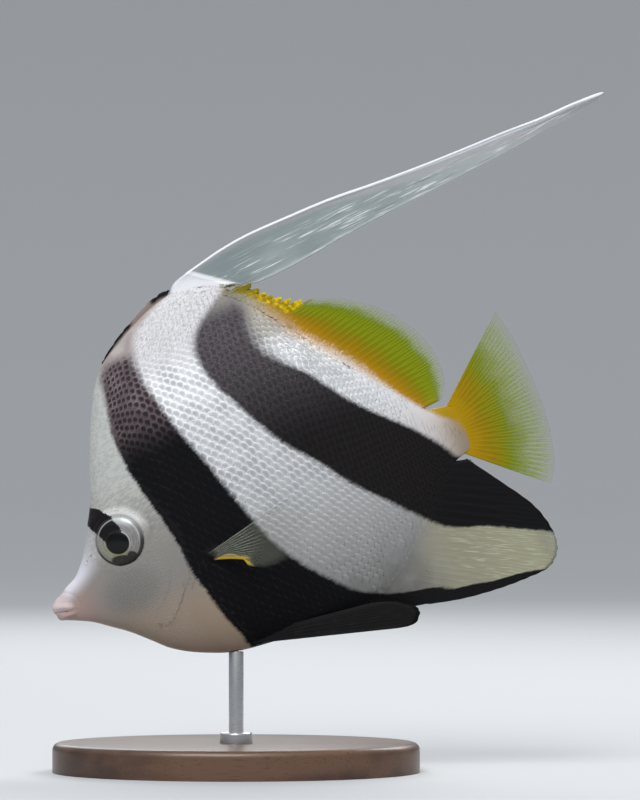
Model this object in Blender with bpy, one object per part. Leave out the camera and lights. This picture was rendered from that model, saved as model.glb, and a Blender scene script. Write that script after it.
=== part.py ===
"""Pennant coralfish, a life-size still model, held nose-down on a plain display stand.

The fish is shaped level, in its own frame: X runs from the tip of the snout to the tail,
Z runs up to its back and Y across it, with the fish's left side at -Y. It is then pitched
nose-down and set over the stand, whose underside lies at Z = 0 round the origin. From the
snout to the root of the tail fin it is 150 mm long.
Outlines are lists of (X, Z) points in millimetres, with a smooth curve through them.
"""

import math

import bmesh
import bpy
import numpy as np
from mathutils import Matrix, Vector

# Driving dimensions
MM = 0.001
PITCH = math.radians(23.5)  # how far the nose points down
GAP = 0.3  # between pieces that touch
BASE_LENGTH, BASE_WIDTH, BASE_HEIGHT = 124.0, 78.0, 10.0
BELLY_CLEARANCE = 30.0  # from the top of the base to the lowest point of the belly
ROD_RADIUS = 2.5
SOCKET_DEPTH = 7.0  # how deep the rod stands in the base
COLLAR_RADIUS, COLLAR_HEIGHT = 5.5, 3.5
RIM_BEVEL = 2.5
OVERRUN = 5.0  # how far a cutter runs past what it cuts
ROD_SPARE = 12.0  # cut off the rod again by the belly
ROD_STATION = 50.0  # where the rod meets the belly, back from the snout

# The body's outline from the side, without its fins
BACK = [(-0.8, -1.5), (0.0, 0.2), (1.2, 1.3), (3.0, 2.0), (5.5, 3.5), (10.0, 5.6), (13.0, 8.4),
        (16.0, 12.0), (20.0, 18.8), (24.0, 25.4), (30.0, 39.8), (36.0, 52.3), (42.0, 62.6),
        (48.0, 68.8), (55.0, 72.7), (62.0, 76.2), (70.0, 79.3), (78.0, 80.8), (86.0, 80.2),
        (92.0, 78.0), (97.0, 74.2), (102.0, 69.0), (107.0, 62.2), (112.0, 54.4), (120.0, 41.8),
        (128.0, 29.8), (134.0, 20.6), (139.0, 13.6), (143.0, 10.1), (146.5, 9.3), (152.0, 7.6)]
BELLY = [(-0.8, -2.9), (0.0, -5.2), (1.5, -6.2), (6.0, -8.4), (10.0, -10.7), (14.0, -13.9),
         (20.0, -18.8), (25.0, -23.8), (30.0, -28.9), (36.0, -33.0), (42.0, -36.0),
         (48.0, -38.5), (54.0, -40.0), (64.0, -41.3), (76.0, -42.6), (88.0, -43.5),
         (98.0, -43.4), (104.0, -41.8), (109.0, -39.2), (114.0, -35.6), (121.0, -29.6),
         (128.0, -22.8), (135.0, -15.8), (140.0, -11.4), (145.0, -9.2), (152.0, -7.6)]
WIDEST_HEIGHT = [(-0.8, -2.2), (5.0, -2.2), (12.0, 0.0), (22.0, 5.0), (32.0, 6.0), (45.0, 3.0),
                 (60.0, 5.0), (80.0, 10.0), (100.0, 9.0), (120.0, 4.0), (135.0, 1.0), (152.0, 0.0)]
HALF_WIDTH = [(-0.8, 0.9), (0.0, 2.0), (2.0, 2.8), (6.0, 3.7), (12.0, 5.4), (20.0, 8.3),
              (29.0, 11.0), (38.0, 12.8), (48.0, 14.0), (60.0, 14.4), (78.0, 13.4),
              (96.0, 10.9), (114.0, 7.8), (130.0, 5.1), (142.0, 3.6), (149.0, 2.5), (152.0, 1.3)]
CREST_HALF_WIDTH = [(-0.8, 0.3), (2.0, 0.9), (12.0, 1.4), (24.0, 1.8), (40.0, 1.5), (60.0, 1.2),
                    (110.0, 1.1), (140.0, 1.1), (152.0, 0.7)]
BACK_SHARPNESS = [(-0.8, 1.0), (15.0, 1.1), (35.0, 1.25), (60.0, 1.45), (90.0, 1.6),
                  (125.0, 1.4), (152.0, 1.0)]
BELLY_SHARPNESS = [(-0.8, 1.0), (20.0, 1.05), (45.0, 1.1), (75.0, 1.15), (100.0, 1.35),
                   (130.0, 1.4), (152.0, 1.0)]
BODY_STATIONS = ([-0.8, 0.0, 1.2, 3.0, 5.5, 8.0, 10.5] + list(np.arange(13.0, 46.0, 2.5))
                 + list(np.arange(48.0, 93.0, 5.0)) + list(np.arange(95.0, 143.0, 3.5))
                 + [145.5, 149.0, 151.0, 152.0])
SECTION_STEPS = 8  # from the widest height to the crest, on each side

# Where the body is parted into head, torso and tail
GILL_CUT = [(27.0, 58.0), (38.0, 50.0), (43.5, 34.0), (46.0, 18.0), (48.3, 4.0), (48.8, -4.0),
            (47.2, -9.6), (43.6, -14.0), (39.5, -17.8), (34.0, -21.0), (27.0, -26.4), (20.0, -31.0)]
TAIL_CUT = [(146.0, 26.0), (139.5, 10.0), (138.0, 0.0), (139.5, -10.0), (146.0, -24.0)]

# Head
EYE_CENTRE = (29.4, 11.3)
EYE_RADIUS = 8.6
EYE_DEPTH_RADIUS = 3.0
EYE_BULGE = 2.0  # how far the eye stands out of the head
EYE_STEP = 3.0  # how far round the eye's middle the head's slope is read
MOUTH_LINE = [(-4.0, -2.5), (0.0, -2.8), (2.6, -3.4), (4.8, -4.4)]
MOUTH_OPENING = 0.5
UPPER_LIP = [(5.4, 3.6, -3.1), (3.2, 3.0, -2.0), (1.2, 2.2, -1.4), (0.3, 1.0, -1.2),
             (0.1, 0.0, -1.2)]
LOWER_LIP = [(5.2, 3.4, -5.2), (3.4, 2.8, -4.9), (1.8, 2.0, -4.7), (1.1, 0.9, -4.6),
             (0.9, 0.0, -4.6)]
LIP_RADIUS = 1.1
NOSTRILS = [(16.2, 8.9), (18.3, 10.1)]
NOSTRIL_RADIUS, NOSTRIL_DEPTH = 0.6, 1.0

# Fins: each key ray is (root X, root Z, tip X, tip Z); the other rays lie between them
PENNANT = [(76.5, 78.6, 93.5, 74.8), (79.4, 82.8, 98.2, 75.2), (84.0, 84.6, 102.0, 73.8),
           (92.0, 86.4, 106.0, 72.4), (100.0, 87.9, 111.0, 72.3), (110.0, 88.9, 118.0, 72.6),
           (124.0, 89.0, 128.0, 73.6), (140.0, 88.8, 140.0, 75.0), (156.0, 87.6, 156.0, 76.4),
           (172.0, 86.7, 172.0, 77.3), (188.0, 86.2, 188.0, 78.3), (203.0, 85.9, 202.0, 79.3),
           (216.0, 85.2, 214.5, 80.8), (228.0, 85.3, 227.0, 81.8), (239.0, 84.7, 238.8, 83.8)]
DORSAL = [(93.0, 73.6, 103.6, 74.0), (96.5, 70.0, 107.0, 69.0), (101.0, 65.6, 111.0, 65.2),
          (105.0, 60.4, 117.5, 61.4), (108.0, 55.6, 125.0, 58.4), (112.0, 49.6, 133.0, 54.6),
          (116.5, 42.8, 140.5, 48.4), (121.0, 36.0, 146.4, 41.0), (126.0, 28.8, 150.4, 33.0),
          (130.5, 22.0, 152.0, 24.6), (135.0, 15.8, 151.0, 17.0), (139.0, 11.0, 147.8, 11.4)]
CAUDAL = [(146.5, 7.4, 176.0, 31.5), (147.0, 5.8, 177.6, 25.0), (147.0, 3.8, 178.4, 17.0),
          (147.0, 1.8, 178.5, 8.0), (147.0, 0.0, 178.5, 0.5), (147.0, -1.8, 178.0, -7.0),
          (147.0, -3.8, 176.8, -14.5), (147.0, -5.8, 174.4, -22.6), (146.5, -7.6, 170.2, -29.6)]
ANAL = [(97.0, -40.4, 104.0, -46.6), (101.0, -39.6, 116.0, -50.2), (105.0, -38.0, 128.0, -53.2),
        (109.0, -35.6, 140.0, -54.8), (113.0, -32.6, 150.0, -55.3), (117.0, -29.2, 158.5, -54.8),
        (121.5, -25.2, 163.4, -50.4), (126.0, -21.0, 164.4, -43.4), (131.0, -16.2, 161.8, -33.4),
        (136.0, -11.4, 154.6, -21.4), (140.0, -8.4, 147.6, -10.4)]
FRONT_SPINES = [(46.0, 64.6, 47.5, 68.8), (50.0, 68.0, 52.5, 72.3), (54.5, 70.4, 58.0, 75.5),
                (58.5, 72.4, 61.8, 77.2), (62.0, 74.0, 64.8, 78.7), (66.5, 75.8, 70.5, 81.2),
                (71.0, 77.0, 75.6, 82.3), (73.4, 77.6, 78.2, 81.9)]
# Paired fins: each key ray is (root X, root Z, root Y, tip X, tip Z, tip Y), on the fish's right
PECTORAL = [(54.3, -4.6, 13.4, 87.0, 2.2, 28.0), (54.5, -5.1, 13.4, 90.6, -2.8, 29.6),
            (54.7, -5.6, 13.4, 90.0, -9.6, 29.4), (54.9, -6.1, 13.4, 84.4, -15.0, 27.0),
            (55.1, -6.6, 13.4, 76.4, -16.8, 23.8), (55.3, -7.1, 13.4, 70.2, -15.8, 21.0),
            (55.5, -7.6, 13.4, 66.0, -13.3, 19.4)]
PELVIC = [(53.5, -37.6, 3.6, 103.5, -53.0, 9.5), (54.5, -37.2, 3.6, 109.0, -53.8, 10.0),
          (55.5, -36.8, 3.6, 112.2, -51.2, 10.2), (56.5, -36.4, 3.6, 111.0, -48.0, 10.0),
          (57.5, -36.0, 3.6, 105.5, -44.0, 9.2), (59.0, -35.6, 3.6, 98.5, -41.6, 8.0)]

SPINY_SHARE = 0.34  # the share of a fin, from its front, where spines stand out of the membrane
SOFT_NOTCH = 0.012
ALONG_THE_Y_AXIS = (0, 1, 0)
SHARP_EDGE = math.radians(40)
SCRAP_FACES = 20  # a closed surface of fewer faces is a scrap of a cut

COLOURS = {
    "pearl_skin": (0.80, 0.80, 0.77, 0.42), "white_skin": (0.78, 0.79, 0.80, 0.40),
    "white_fin": (0.82, 0.84, 0.85, 0.38), "yellow_fin": (0.72, 0.52, 0.02, 0.45),
    "black_fin": (0.02, 0.02, 0.022, 0.45), "grey_fin": (0.45, 0.47, 0.40, 0.45),
    "dark_eye": (0.03, 0.03, 0.035, 0.10), "walnut": (0.11, 0.055, 0.03, 0.40),
    "steel": (0.60, 0.60, 0.62, 0.28),
}
METALS = {"steel"}


def through(points):
    """A smooth curve through (place, value) points, which never swings past them."""
    place, value = np.array(points, float).T
    slope = np.diff(value) / np.diff(place)
    tangent = np.concatenate([slope[:1], np.zeros(len(slope) - 1), slope[-1:]])
    for i in range(1, len(slope)):
        if slope[i - 1] * slope[i] > 0:
            tangent[i] = 2 * slope[i - 1] * slope[i] / (slope[i - 1] + slope[i])

    def at(x):
        i = int(np.clip(np.searchsorted(place, x) - 1, 0, len(slope) - 1))
        span = place[i + 1] - place[i]
        t = float(np.clip((x - place[i]) / span, 0, 1))
        rise = value[i + 1] - value[i]
        ease = t * t * (3 - 2 * t)
        bend = (t - 1) * tangent[i] + t * tangent[i + 1]
        return value[i] + rise * ease + span * (t - 1) * t * bend

    return at


def between(keys, share):
    """The row of numbers at a share of the way through the key rows, on a smooth curve."""
    keys = np.array(keys, float)
    place = share * (len(keys) - 1)
    i = min(int(place), len(keys) - 2)
    t = place - i
    a, b, c, d = (keys[int(np.clip(k, 0, len(keys) - 1))] for k in (i - 1, i, i + 1, i + 2))
    squared, cubed = 2 * a - 5 * b + 4 * c - d, 3 * b - a - 3 * c + d
    return 0.5 * (2 * b + (c - a) * t + squared * t * t + cubed * t ** 3)


back, belly = through(BACK), through(BELLY)
widest_height, half_width = through(WIDEST_HEIGHT), through(HALF_WIDTH)
crest, back_sharpness = through(CREST_HALF_WIDTH), through(BACK_SHARPNESS)
belly_sharpness = through(BELLY_SHARPNESS)


def section(x):
    """The body's right side at station x, from the back to the belly, as (Y, Z) points."""
    points = []
    for step in range(2 * SECTION_STEPS + 1):
        turn = math.pi / 2 * (1 - step / SECTION_STEPS)
        edge, sharpness = (back(x), back_sharpness(x)) if turn > 0 else (belly(x), belly_sharpness(x))
        spread = max(math.cos(turn), 0.0) ** sharpness
        y = crest(x) + (half_width(x) - crest(x)) * spread
        z = widest_height(x) + (edge - widest_height(x)) * abs(math.sin(turn))
        points.append((y, z))
    return points


def side(x, z):
    """The body's half width at a point of its side view."""
    middle = widest_height(x)
    edge, sharpness = (back(x), back_sharpness(x)) if z > middle else (belly(x), belly_sharpness(x))
    share = min(abs((z - middle) / (edge - middle)), 1.0)
    return crest(x) + (half_width(x) - crest(x)) * (1 - share * share) ** (sharpness / 2)


def material(name):
    """The Principled material of that name, made once."""
    found = bpy.data.materials.get(name)
    if found:
        return found
    red, green, blue, roughness = COLOURS[name]
    made = bpy.data.materials.new(name)
    made.use_nodes = True
    shader = made.node_tree.nodes["Principled BSDF"]
    shader.inputs["Base Color"].default_value = (red, green, blue, 1)
    shader.inputs["Roughness"].default_value = roughness
    shader.inputs["Metallic"].default_value = 1.0 if name in METALS else 0.0
    return made


def solid(name, points, faces, orient=True):
    """An object from points in millimetres and faces, turned outwards and made triangles if asked."""
    mesh = bpy.data.meshes.new(name)
    mesh.from_pydata([Vector(p) * MM for p in points], [], faces)
    if orient:
        form = bmesh.new()
        form.from_mesh(mesh)
        bmesh.ops.recalc_face_normals(form, faces=form.faces)
        bmesh.ops.triangulate(form, faces=form.faces[:])
        form.to_mesh(mesh)
        form.free()
    made = bpy.data.objects.new(name, mesh)
    bpy.context.scene.collection.objects.link(made)
    return made


def discard(*objects):
    for each in objects:
        bpy.data.objects.remove(each)


def set_mesh(obj, mesh):
    obj.modifiers.clear()
    old = obj.data
    obj.data = mesh
    bpy.data.meshes.remove(old)


def evaluated_mesh(obj):
    bpy.context.view_layer.update()
    graph = bpy.context.evaluated_depsgraph_get()
    return bpy.data.meshes.new_from_object(obj.evaluated_get(graph))


def combine(obj, others, operation, solver="EXACT"):
    """Joins the other objects to this one, or cuts them from it, and removes them."""
    group = bpy.data.collections.new("operands")
    for other in others:
        group.objects.link(other)
    modifier = obj.modifiers.new("combine", "BOOLEAN")
    modifier.operand_type, modifier.collection = "COLLECTION", group
    modifier.operation, modifier.solver = operation, solver
    set_mesh(obj, evaluated_mesh(obj))
    discard(*others)
    bpy.data.collections.remove(group)
    return obj


def islands(form):
    """The faces of each closed surface in a bmesh."""
    left, found = set(form.faces), []
    while left:
        island, reach = set(), [left.pop()]
        while reach:
            face = reach.pop()
            island.add(face)
            near = {other for edge in face.edges for other in edge.link_faces} & left
            left -= near
            reach += near
        found.append(island)
    return found


def keep_largest(obj):
    """Drops every loose scrap and sealed hollow, so that one closed surface is left."""
    form = bmesh.new()
    form.from_mesh(obj.data)
    surfaces = sorted(islands(form), key=lambda island: -sum(face.calc_area() for face in island))
    bmesh.ops.delete(form, geom=[face for island in surfaces[1:] for face in island], context="FACES")
    form.to_mesh(obj.data)
    form.free()
    return obj


def part_by_islands(obj, names):
    """Splits an object into one for each closed surface, named from the snout to the tail."""
    form = bmesh.new()
    form.from_mesh(obj.data)
    surfaces = [island for island in islands(form) if len(island) > SCRAP_FACES]
    surfaces.sort(key=lambda island: sum(face.calc_center_median().x for face in island) / len(island))
    made = {}
    for name, island in zip(names, surfaces, strict=True):
        corners = sorted({corner for face in island for corner in face.verts}, key=lambda v: v.index)
        order = {corner: i for i, corner in enumerate(corners)}
        points = [corner.co / MM for corner in corners]
        made[name] = solid(name, points, [[order[corner] for corner in face.verts] for face in island])
    form.free()
    discard(obj)
    return made


def loft(name, rings, ends):
    """A closed solid through rings of points, with a point that closes each end."""
    count = len(rings[0])
    points = [p for ring in rings for p in ring] + list(ends)
    faces = []
    for i in range(len(rings) - 1):
        for j in range(count):
            k = (j + 1) % count
            faces.append([i * count + j, i * count + k, (i + 1) * count + k, (i + 1) * count + j])
    for ring, tip in ((0, len(points) - 2), (len(rings) - 1, len(points) - 1)):
        faces += [[ring * count + j, ring * count + (j + 1) % count, tip] for j in range(count)]
    return solid(name, points, faces)


def body_form(name, swell=0.0):
    """The whole body without its fins, as one closed solid, swollen outwards if asked."""
    rings = []
    for x in BODY_STATIONS:
        right = section(x)
        ring = [(x, y, z) for y, z in right] + [(x, -y, z) for y, z in reversed(right)]
        rings.append(ring)
    nose, tail = BODY_STATIONS[0], BODY_STATIONS[-1]
    made = loft(name, rings, [(nose - 0.3, 0, -2.2), (tail + 0.3, 0, 0)])
    if swell:
        for point in made.data.vertices:
            point.co += point.normal * swell * MM
    return made


def ribbon(name, path, thickness, reach):
    """A thin wall that follows a path of (X, Z) points and spans the body from side to side."""
    steps = 6 * (len(path) - 1)
    line = [Vector(between(path, i / steps)) for i in range(steps + 1)]
    points = []
    for i, here in enumerate(line):
        run = line[min(i + 1, steps)] - line[max(i - 1, 0)]
        across = Vector((-run.y, run.x)).normalized() * thickness / 2
        for y in (-reach, reach):
            points += [(here.x + across.x, y, here.y + across.y), (here.x - across.x, y, here.y - across.y)]
    order = (0, 1, 3, 2)
    faces = [list(order), [4 * steps + j for j in order]]
    for i in range(steps):
        for this, following in zip(order, order[1:] + order[:1]):
            faces.append([4 * i + this, 4 * i + following, 4 * i + 4 + following, 4 * i + 4 + this])
    return solid(name, points, faces)


def ball(name, centre, radius, depth, facing=ALONG_THE_Y_AXIS, segments=20, rings=12):
    """A flattened ball whose short axis points the way that it faces."""
    form = bmesh.new()
    bmesh.ops.create_uvsphere(form, u_segments=segments, v_segments=rings, radius=MM)
    turn = Vector(facing).to_track_quat("Z", "X").to_matrix().to_4x4()
    bmesh.ops.transform(form, matrix=Matrix.Translation(Vector(centre) * MM) @ turn
                        @ Matrix.Diagonal((radius, radius, depth, 1)), verts=form.verts)
    mesh = bpy.data.meshes.new(name)
    form.to_mesh(mesh)
    form.free()
    made = bpy.data.objects.new(name, mesh)
    bpy.context.scene.collection.objects.link(made)
    return made


def tube(name, path, radius, sides=8):
    """A round bar along a path of (X, Y, Z) points, with domed ends."""
    steps = 3 * (len(path) - 1)
    line = [Vector(between(path, i / steps)) for i in range(steps + 1)]
    rings = []
    for i, here in enumerate(line):
        run = (line[min(i + 1, steps)] - line[max(i - 1, 0)]).normalized()
        across = run.cross(Vector((0, 0, 1))).normalized()
        up = across.cross(run)
        size = radius * (0.7 if i in (0, steps) else 1.0)
        rings.append([here + size * (math.cos(turn) * across + math.sin(turn) * up)
                      for turn in (2 * math.pi * j / sides for j in range(sides))])
    ends = [line[0] + (line[0] - line[1]).normalized() * radius * 0.5,
            line[-1] + (line[-1] - line[-2]).normalized() * radius * 0.5]
    return loft(name, rings, ends)


def plate(name, middle, half):
    """A thin curved solid from a grid of points on its middle and their half thicknesses. Both faces
    are split into triangles alike, so that they never cross."""
    columns, rows = middle.shape[:2]
    along, out = np.gradient(middle, axis=0), np.gradient(middle, axis=1)
    normal = np.cross(along, out)
    normal /= np.linalg.norm(normal, axis=2, keepdims=True)
    offset = normal * half[:, :, None]
    points = np.concatenate([(middle + offset).reshape(-1, 3), (middle - offset).reshape(-1, 3)])
    other = columns * rows
    faces = []
    for i in range(columns - 1):
        for j in range(rows - 1):
            a, b = i * rows + j, (i + 1) * rows + j
            for triangle in ((a, b, b + 1), (a, b + 1, a + 1)):
                faces += [list(triangle), [corner + other for corner in reversed(triangle)]]
    rim = [i * rows for i in range(columns)] + [(columns - 1) * rows + j for j in range(1, rows)]
    rim += [i * rows + rows - 1 for i in range(columns - 2, -1, -1)] + list(range(rows - 2, 0, -1))
    for a, b in zip(rim, rim[1:] + rim[:1]):
        faces += [[a, a + other, b + other], [a, b + other, b]]
    return solid(name, points, faces, orient=False)


def fin(name, keys, rays, rows, root_half, edge_half, ridge, notch, sway=None):
    """A fin as a fan of rays from its root to its edge, each ray a ridge raised in the membrane.
    The notches that the membrane leaves between the spines' tips fade out towards the soft rays."""
    columns = 2 * rays + 1
    middle = np.zeros((columns, rows + 1, 3))
    half = np.zeros((columns, rows + 1))
    for i in range(columns):
        key = between(keys, i / (columns - 1))
        if len(key) == 4:
            root, tip = np.array((key[0], 0.0, key[1])), np.array((key[2], 0.0, key[3]))
        else:
            root, tip = np.array((key[0], key[2], key[1])), np.array((key[3], key[5], key[4]))
        spiny = max(0.0, 1 - i / (columns - 1) / SPINY_SHARE)
        reach = 1 - (i % 2 == 0) * (notch * spiny ** 0.5 + SOFT_NOTCH)
        for j in range(rows + 1):
            out = j / rows
            middle[i, j] = root + (tip - root) * out * reach
            if sway:
                middle[i, j, 1] += sway(i / (columns - 1), out)
            half[i, j] = root_half + (edge_half - root_half) * min(1.0, 1.6 * out) ** 0.7
            half[i, j] += ridge * (i % 2) * (1 - 0.55 * out)
    return plate(name, middle, half)


def finish(obj, name, finish_name):
    """Gives a node its name, material and smooth shading."""
    obj.name = obj.data.name = name
    obj.data.materials.clear()
    obj.data.materials.append(material(finish_name))
    obj.data.shade_smooth()
    obj.data.set_sharp_from_angle(angle=SHARP_EDGE)
    return obj


def eye_place(mirror):
    """An eye's middle and the way that it faces, square to the head, so that it stands out by its bulge."""
    x, z = EYE_CENTRE
    rearward = (side(x + EYE_STEP, z) - side(x - EYE_STEP, z)) / (2 * EYE_STEP)
    upward = (side(x, z + EYE_STEP) - side(x, z - EYE_STEP)) / (2 * EYE_STEP)
    facing = Vector((-rearward, 1, -upward)).normalized()
    centre = Vector((x, side(x, z), z)) + facing * (EYE_BULGE - EYE_DEPTH_RADIUS)
    flip = Vector((1, mirror, 1))
    return centre * flip, facing * flip


def mirrored_path(path):
    return [(x, -y, z) for x, y, z in path] + [(x, y, z) for x, y, z in reversed(path[:-1])]


def make_body():
    """Head with eye sockets, lips, mouth and nostrils, then torso and tail, parted by thin cuts."""
    body = body_form("body")
    lips = [tube("upper_lip", mirrored_path(UPPER_LIP), LIP_RADIUS),
            tube("lower_lip", mirrored_path(LOWER_LIP), LIP_RADIUS)]
    combine(body, lips, "UNION")
    cuts = [ribbon("gill_cut", GILL_CUT, GAP, 30.0), ribbon("tail_cut", TAIL_CUT, GAP, 30.0),
            ribbon("mouth_cut", MOUTH_LINE, MOUTH_OPENING, 12.0)]
    for mirror in (-1, 1):
        centre, facing = eye_place(mirror)
        cuts.append(ball("socket", centre, EYE_RADIUS + GAP, EYE_DEPTH_RADIUS + GAP, facing))
        for x, z in NOSTRILS:
            place = (x, mirror * side(x, z), z)
            cuts.append(ball("nostril", place, NOSTRIL_RADIUS, NOSTRIL_DEPTH, segments=8, rings=6))
    combine(body, cuts, "DIFFERENCE")
    made = part_by_islands(body, ["head", "torso", "tail_peduncle"])
    for name, each in made.items():
        finish(each, name, "pearl_skin" if name == "head" else "white_skin")
    return made


def make_eyes():
    made = {}
    for name, mirror in (("eye_left", -1), ("eye_right", 1)):
        centre, facing = eye_place(mirror)
        made[name] = finish(ball(name, centre, EYE_RADIUS, EYE_DEPTH_RADIUS, facing), name, "dark_eye")
    return made


def pennant_sway(along, out):
    """The pennant leans to the right, clear of the yellow spines, and waves along its length."""
    lean = 2.4 * min(1.0, along * 8) * out
    return lean + 2.2 * math.sin(2 * math.pi * along) * along


def make_fins(body_cutter):
    """All the fins, each cut back to a face that follows the body."""
    # keys, rays, rows, half thickness at the root and at the edge, ridge, notch, sway, finish
    shapes = {
        "pennant": (PENNANT, 22, 8, 0.7, 0.26, 0.0, 0.0, pennant_sway, "white_fin"),
        "dorsal_fin": (DORSAL, 24, 6, 0.7, 0.26, 0.28, 0.24, None, "yellow_fin"),
        "caudal_fin": (CAUDAL, 17, 6, 0.8, 0.26, 0.26, 0.0, None, "yellow_fin"),
        "anal_fin": (ANAL, 20, 6, 0.7, 0.26, 0.28, 0.08, None, "white_fin"),
        "dorsal_spines_front": (FRONT_SPINES, 8, 3, 0.6, 0.3, 0.25, 0.08, None, "black_fin"),
        "pectoral_fin_right": (PECTORAL, 11, 5, 0.5, 0.26, 0.14, 0.0, None, "grey_fin"),
        "pelvic_fin_right": (PELVIC, 6, 7, 0.7, 0.28, 0.25, 0.0, None, "black_fin"),
    }
    made = {}
    for name, (keys, rays, rows, root_half, edge_half, ridge, notch, sway, finish_name) in shapes.items():
        fins = {name: fin(name, keys, rays, rows, root_half, edge_half, ridge, notch, sway)}
        if name.endswith("_right"):
            left = [tuple(-v if k in (2, 5) else v for k, v in enumerate(key)) for key in keys]
            other = name.replace("_right", "_left")
            fins[other] = fin(other, left, rays, rows, root_half, edge_half, ridge, notch, sway)
        for each_name, each in fins.items():
            cutter = body_cutter.copy()
            cutter.data = body_cutter.data.copy()
            bpy.context.scene.collection.objects.link(cutter)
            combine(each, [cutter], "DIFFERENCE", solver="MANIFOLD")
            made[each_name] = finish(keep_largest(each), each_name, finish_name)
    return made


def make_stand(body_cutter, pose):
    """An oval base, a rod up to the belly and a collar where the rod leaves the base."""
    form = bmesh.new()
    bmesh.ops.create_circle(form, cap_ends=True, segments=56, radius=0.5)
    oval = Matrix.Diagonal((BASE_LENGTH * MM, BASE_WIDTH * MM, 1, 1))
    bmesh.ops.transform(form, matrix=oval, verts=form.verts)
    top = bmesh.ops.extrude_face_region(form, geom=form.faces[:])["geom"]
    lifted = [v for v in top if isinstance(v, bmesh.types.BMVert)]
    bmesh.ops.translate(form, verts=lifted, vec=(0, 0, BASE_HEIGHT * MM))
    bmesh.ops.recalc_face_normals(form, faces=form.faces)
    rim = [e for e in form.edges if all(v.co.z > BASE_HEIGHT * MM / 2 for v in e.verts)]
    bmesh.ops.bevel(form, geom=rim, offset=RIM_BEVEL * MM, segments=3, affect="EDGES", profile=0.5,
                    material=-1)
    mesh = bpy.data.meshes.new("stand_base")
    form.to_mesh(mesh)
    form.free()
    base = bpy.data.objects.new("stand_base", mesh)
    bpy.context.scene.collection.objects.link(base)
    foot = BASE_HEIGHT - SOCKET_DEPTH
    socket = bar("rod_socket", ROD_RADIUS + GAP, foot, BASE_HEIGHT + OVERRUN)
    combine(base, [socket], "DIFFERENCE")
    rod = bar("stand_rod", ROD_RADIUS, foot + GAP, BASE_HEIGHT + BELLY_CLEARANCE + ROD_SPARE)
    cutter = body_cutter.copy()
    cutter.data = body_cutter.data.copy()
    cutter.data.transform(pose)
    bpy.context.scene.collection.objects.link(cutter)
    combine(rod, [cutter], "DIFFERENCE")
    collar = bar("stand_collar", COLLAR_RADIUS, BASE_HEIGHT + GAP, BASE_HEIGHT + COLLAR_HEIGHT)
    bore = bar("bore", ROD_RADIUS + GAP, foot, BASE_HEIGHT + COLLAR_HEIGHT + OVERRUN)
    combine(collar, [bore], "DIFFERENCE")
    finish(base, "stand_base", "walnut")
    finish(keep_largest(rod), "stand_rod", "steel")
    finish(collar, "stand_collar", "steel")


def bar(name, radius, low, high):
    """An upright round bar on the stand's axis."""
    form = bmesh.new()
    bmesh.ops.create_cone(form, cap_ends=True, segments=32, radius1=radius * MM, radius2=radius * MM,
                          depth=(high - low) * MM, matrix=Matrix.Translation((0, 0, (low + high) / 2 * MM)))
    mesh = bpy.data.meshes.new(name)
    form.to_mesh(mesh)
    form.free()
    made = bpy.data.objects.new(name, mesh)
    bpy.context.scene.collection.objects.link(made)
    return made


def pose_matrix():
    """From the fish's own frame to the world: nose down, its belly over the rod."""
    turn = Matrix.Rotation(-PITCH, 4, "Y")
    lowest = min((turn @ Vector((x, 0, belly(x)))).z for x in BODY_STATIONS)
    over_rod = turn @ Vector((ROD_STATION, 0, belly(ROD_STATION)))
    place = Vector((-over_rod.x, 0, BASE_HEIGHT + BELLY_CLEARANCE - lowest)) * MM
    return Matrix.Translation(place) @ turn


def main():
    for obj in list(bpy.data.objects):
        bpy.data.objects.remove(obj)
    pose = pose_matrix()
    body_cutter = body_form("body_cutter", swell=GAP)
    fish = {**make_body(), **make_eyes(), **make_fins(body_cutter)}
    make_stand(body_cutter, pose)
    discard(body_cutter)
    holder = bpy.data.objects.new("fish_pose", None)
    holder.matrix_world = pose
    bpy.context.scene.collection.objects.link(holder)
    for each in fish.values():
        each.parent = holder


main()
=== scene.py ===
# %% [markdown]
# # A pennant coralfish on its display stand
#
# This notebook dresses a life-size model of a banded reef fish. A plain solid model of it is
# already packed as a fixed frame, and every piece made here lies where that frame says. The
# fish is shaped level, in millimetres, in its own frame: X from the tip of the snout to the
# tail, Z up to the back, and the fish's left side at -Y. At the end of each piece one matrix
# pitches it nose-down and sets it over the stand.

# %% Load the frame
import math

import bmesh
import bpy
import numpy as np
from bmesh.types import BMEdge, BMVert
from mathutils import Matrix, Vector
from mathutils.bvhtree import BVHTree


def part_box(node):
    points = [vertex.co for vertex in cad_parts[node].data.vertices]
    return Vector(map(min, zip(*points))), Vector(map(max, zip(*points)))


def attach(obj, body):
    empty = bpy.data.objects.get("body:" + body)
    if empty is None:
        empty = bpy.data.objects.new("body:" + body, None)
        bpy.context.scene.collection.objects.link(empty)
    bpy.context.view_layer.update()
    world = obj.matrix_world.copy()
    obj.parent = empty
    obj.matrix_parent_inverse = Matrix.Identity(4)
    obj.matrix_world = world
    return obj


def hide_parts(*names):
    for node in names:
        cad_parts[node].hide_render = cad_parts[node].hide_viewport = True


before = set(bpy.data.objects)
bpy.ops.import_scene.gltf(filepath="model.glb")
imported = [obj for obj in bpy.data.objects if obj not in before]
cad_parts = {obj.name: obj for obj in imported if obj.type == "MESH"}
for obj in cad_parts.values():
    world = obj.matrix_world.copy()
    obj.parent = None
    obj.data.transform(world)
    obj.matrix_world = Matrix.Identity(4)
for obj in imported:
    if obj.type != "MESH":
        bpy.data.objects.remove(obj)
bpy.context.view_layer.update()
print("nodes", sorted(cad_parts))

# %% [markdown]
# ## The named sizes
#
# The solid model was drawn from outlines: a few points with a smooth curve through them. The
# same points are repeated here, because the skin has to follow the same body. A cubic curve
# whose slope never overshoots keeps the brow and the snout free of ripples, which an
# ordinary spline through uneven points would add.

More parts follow.
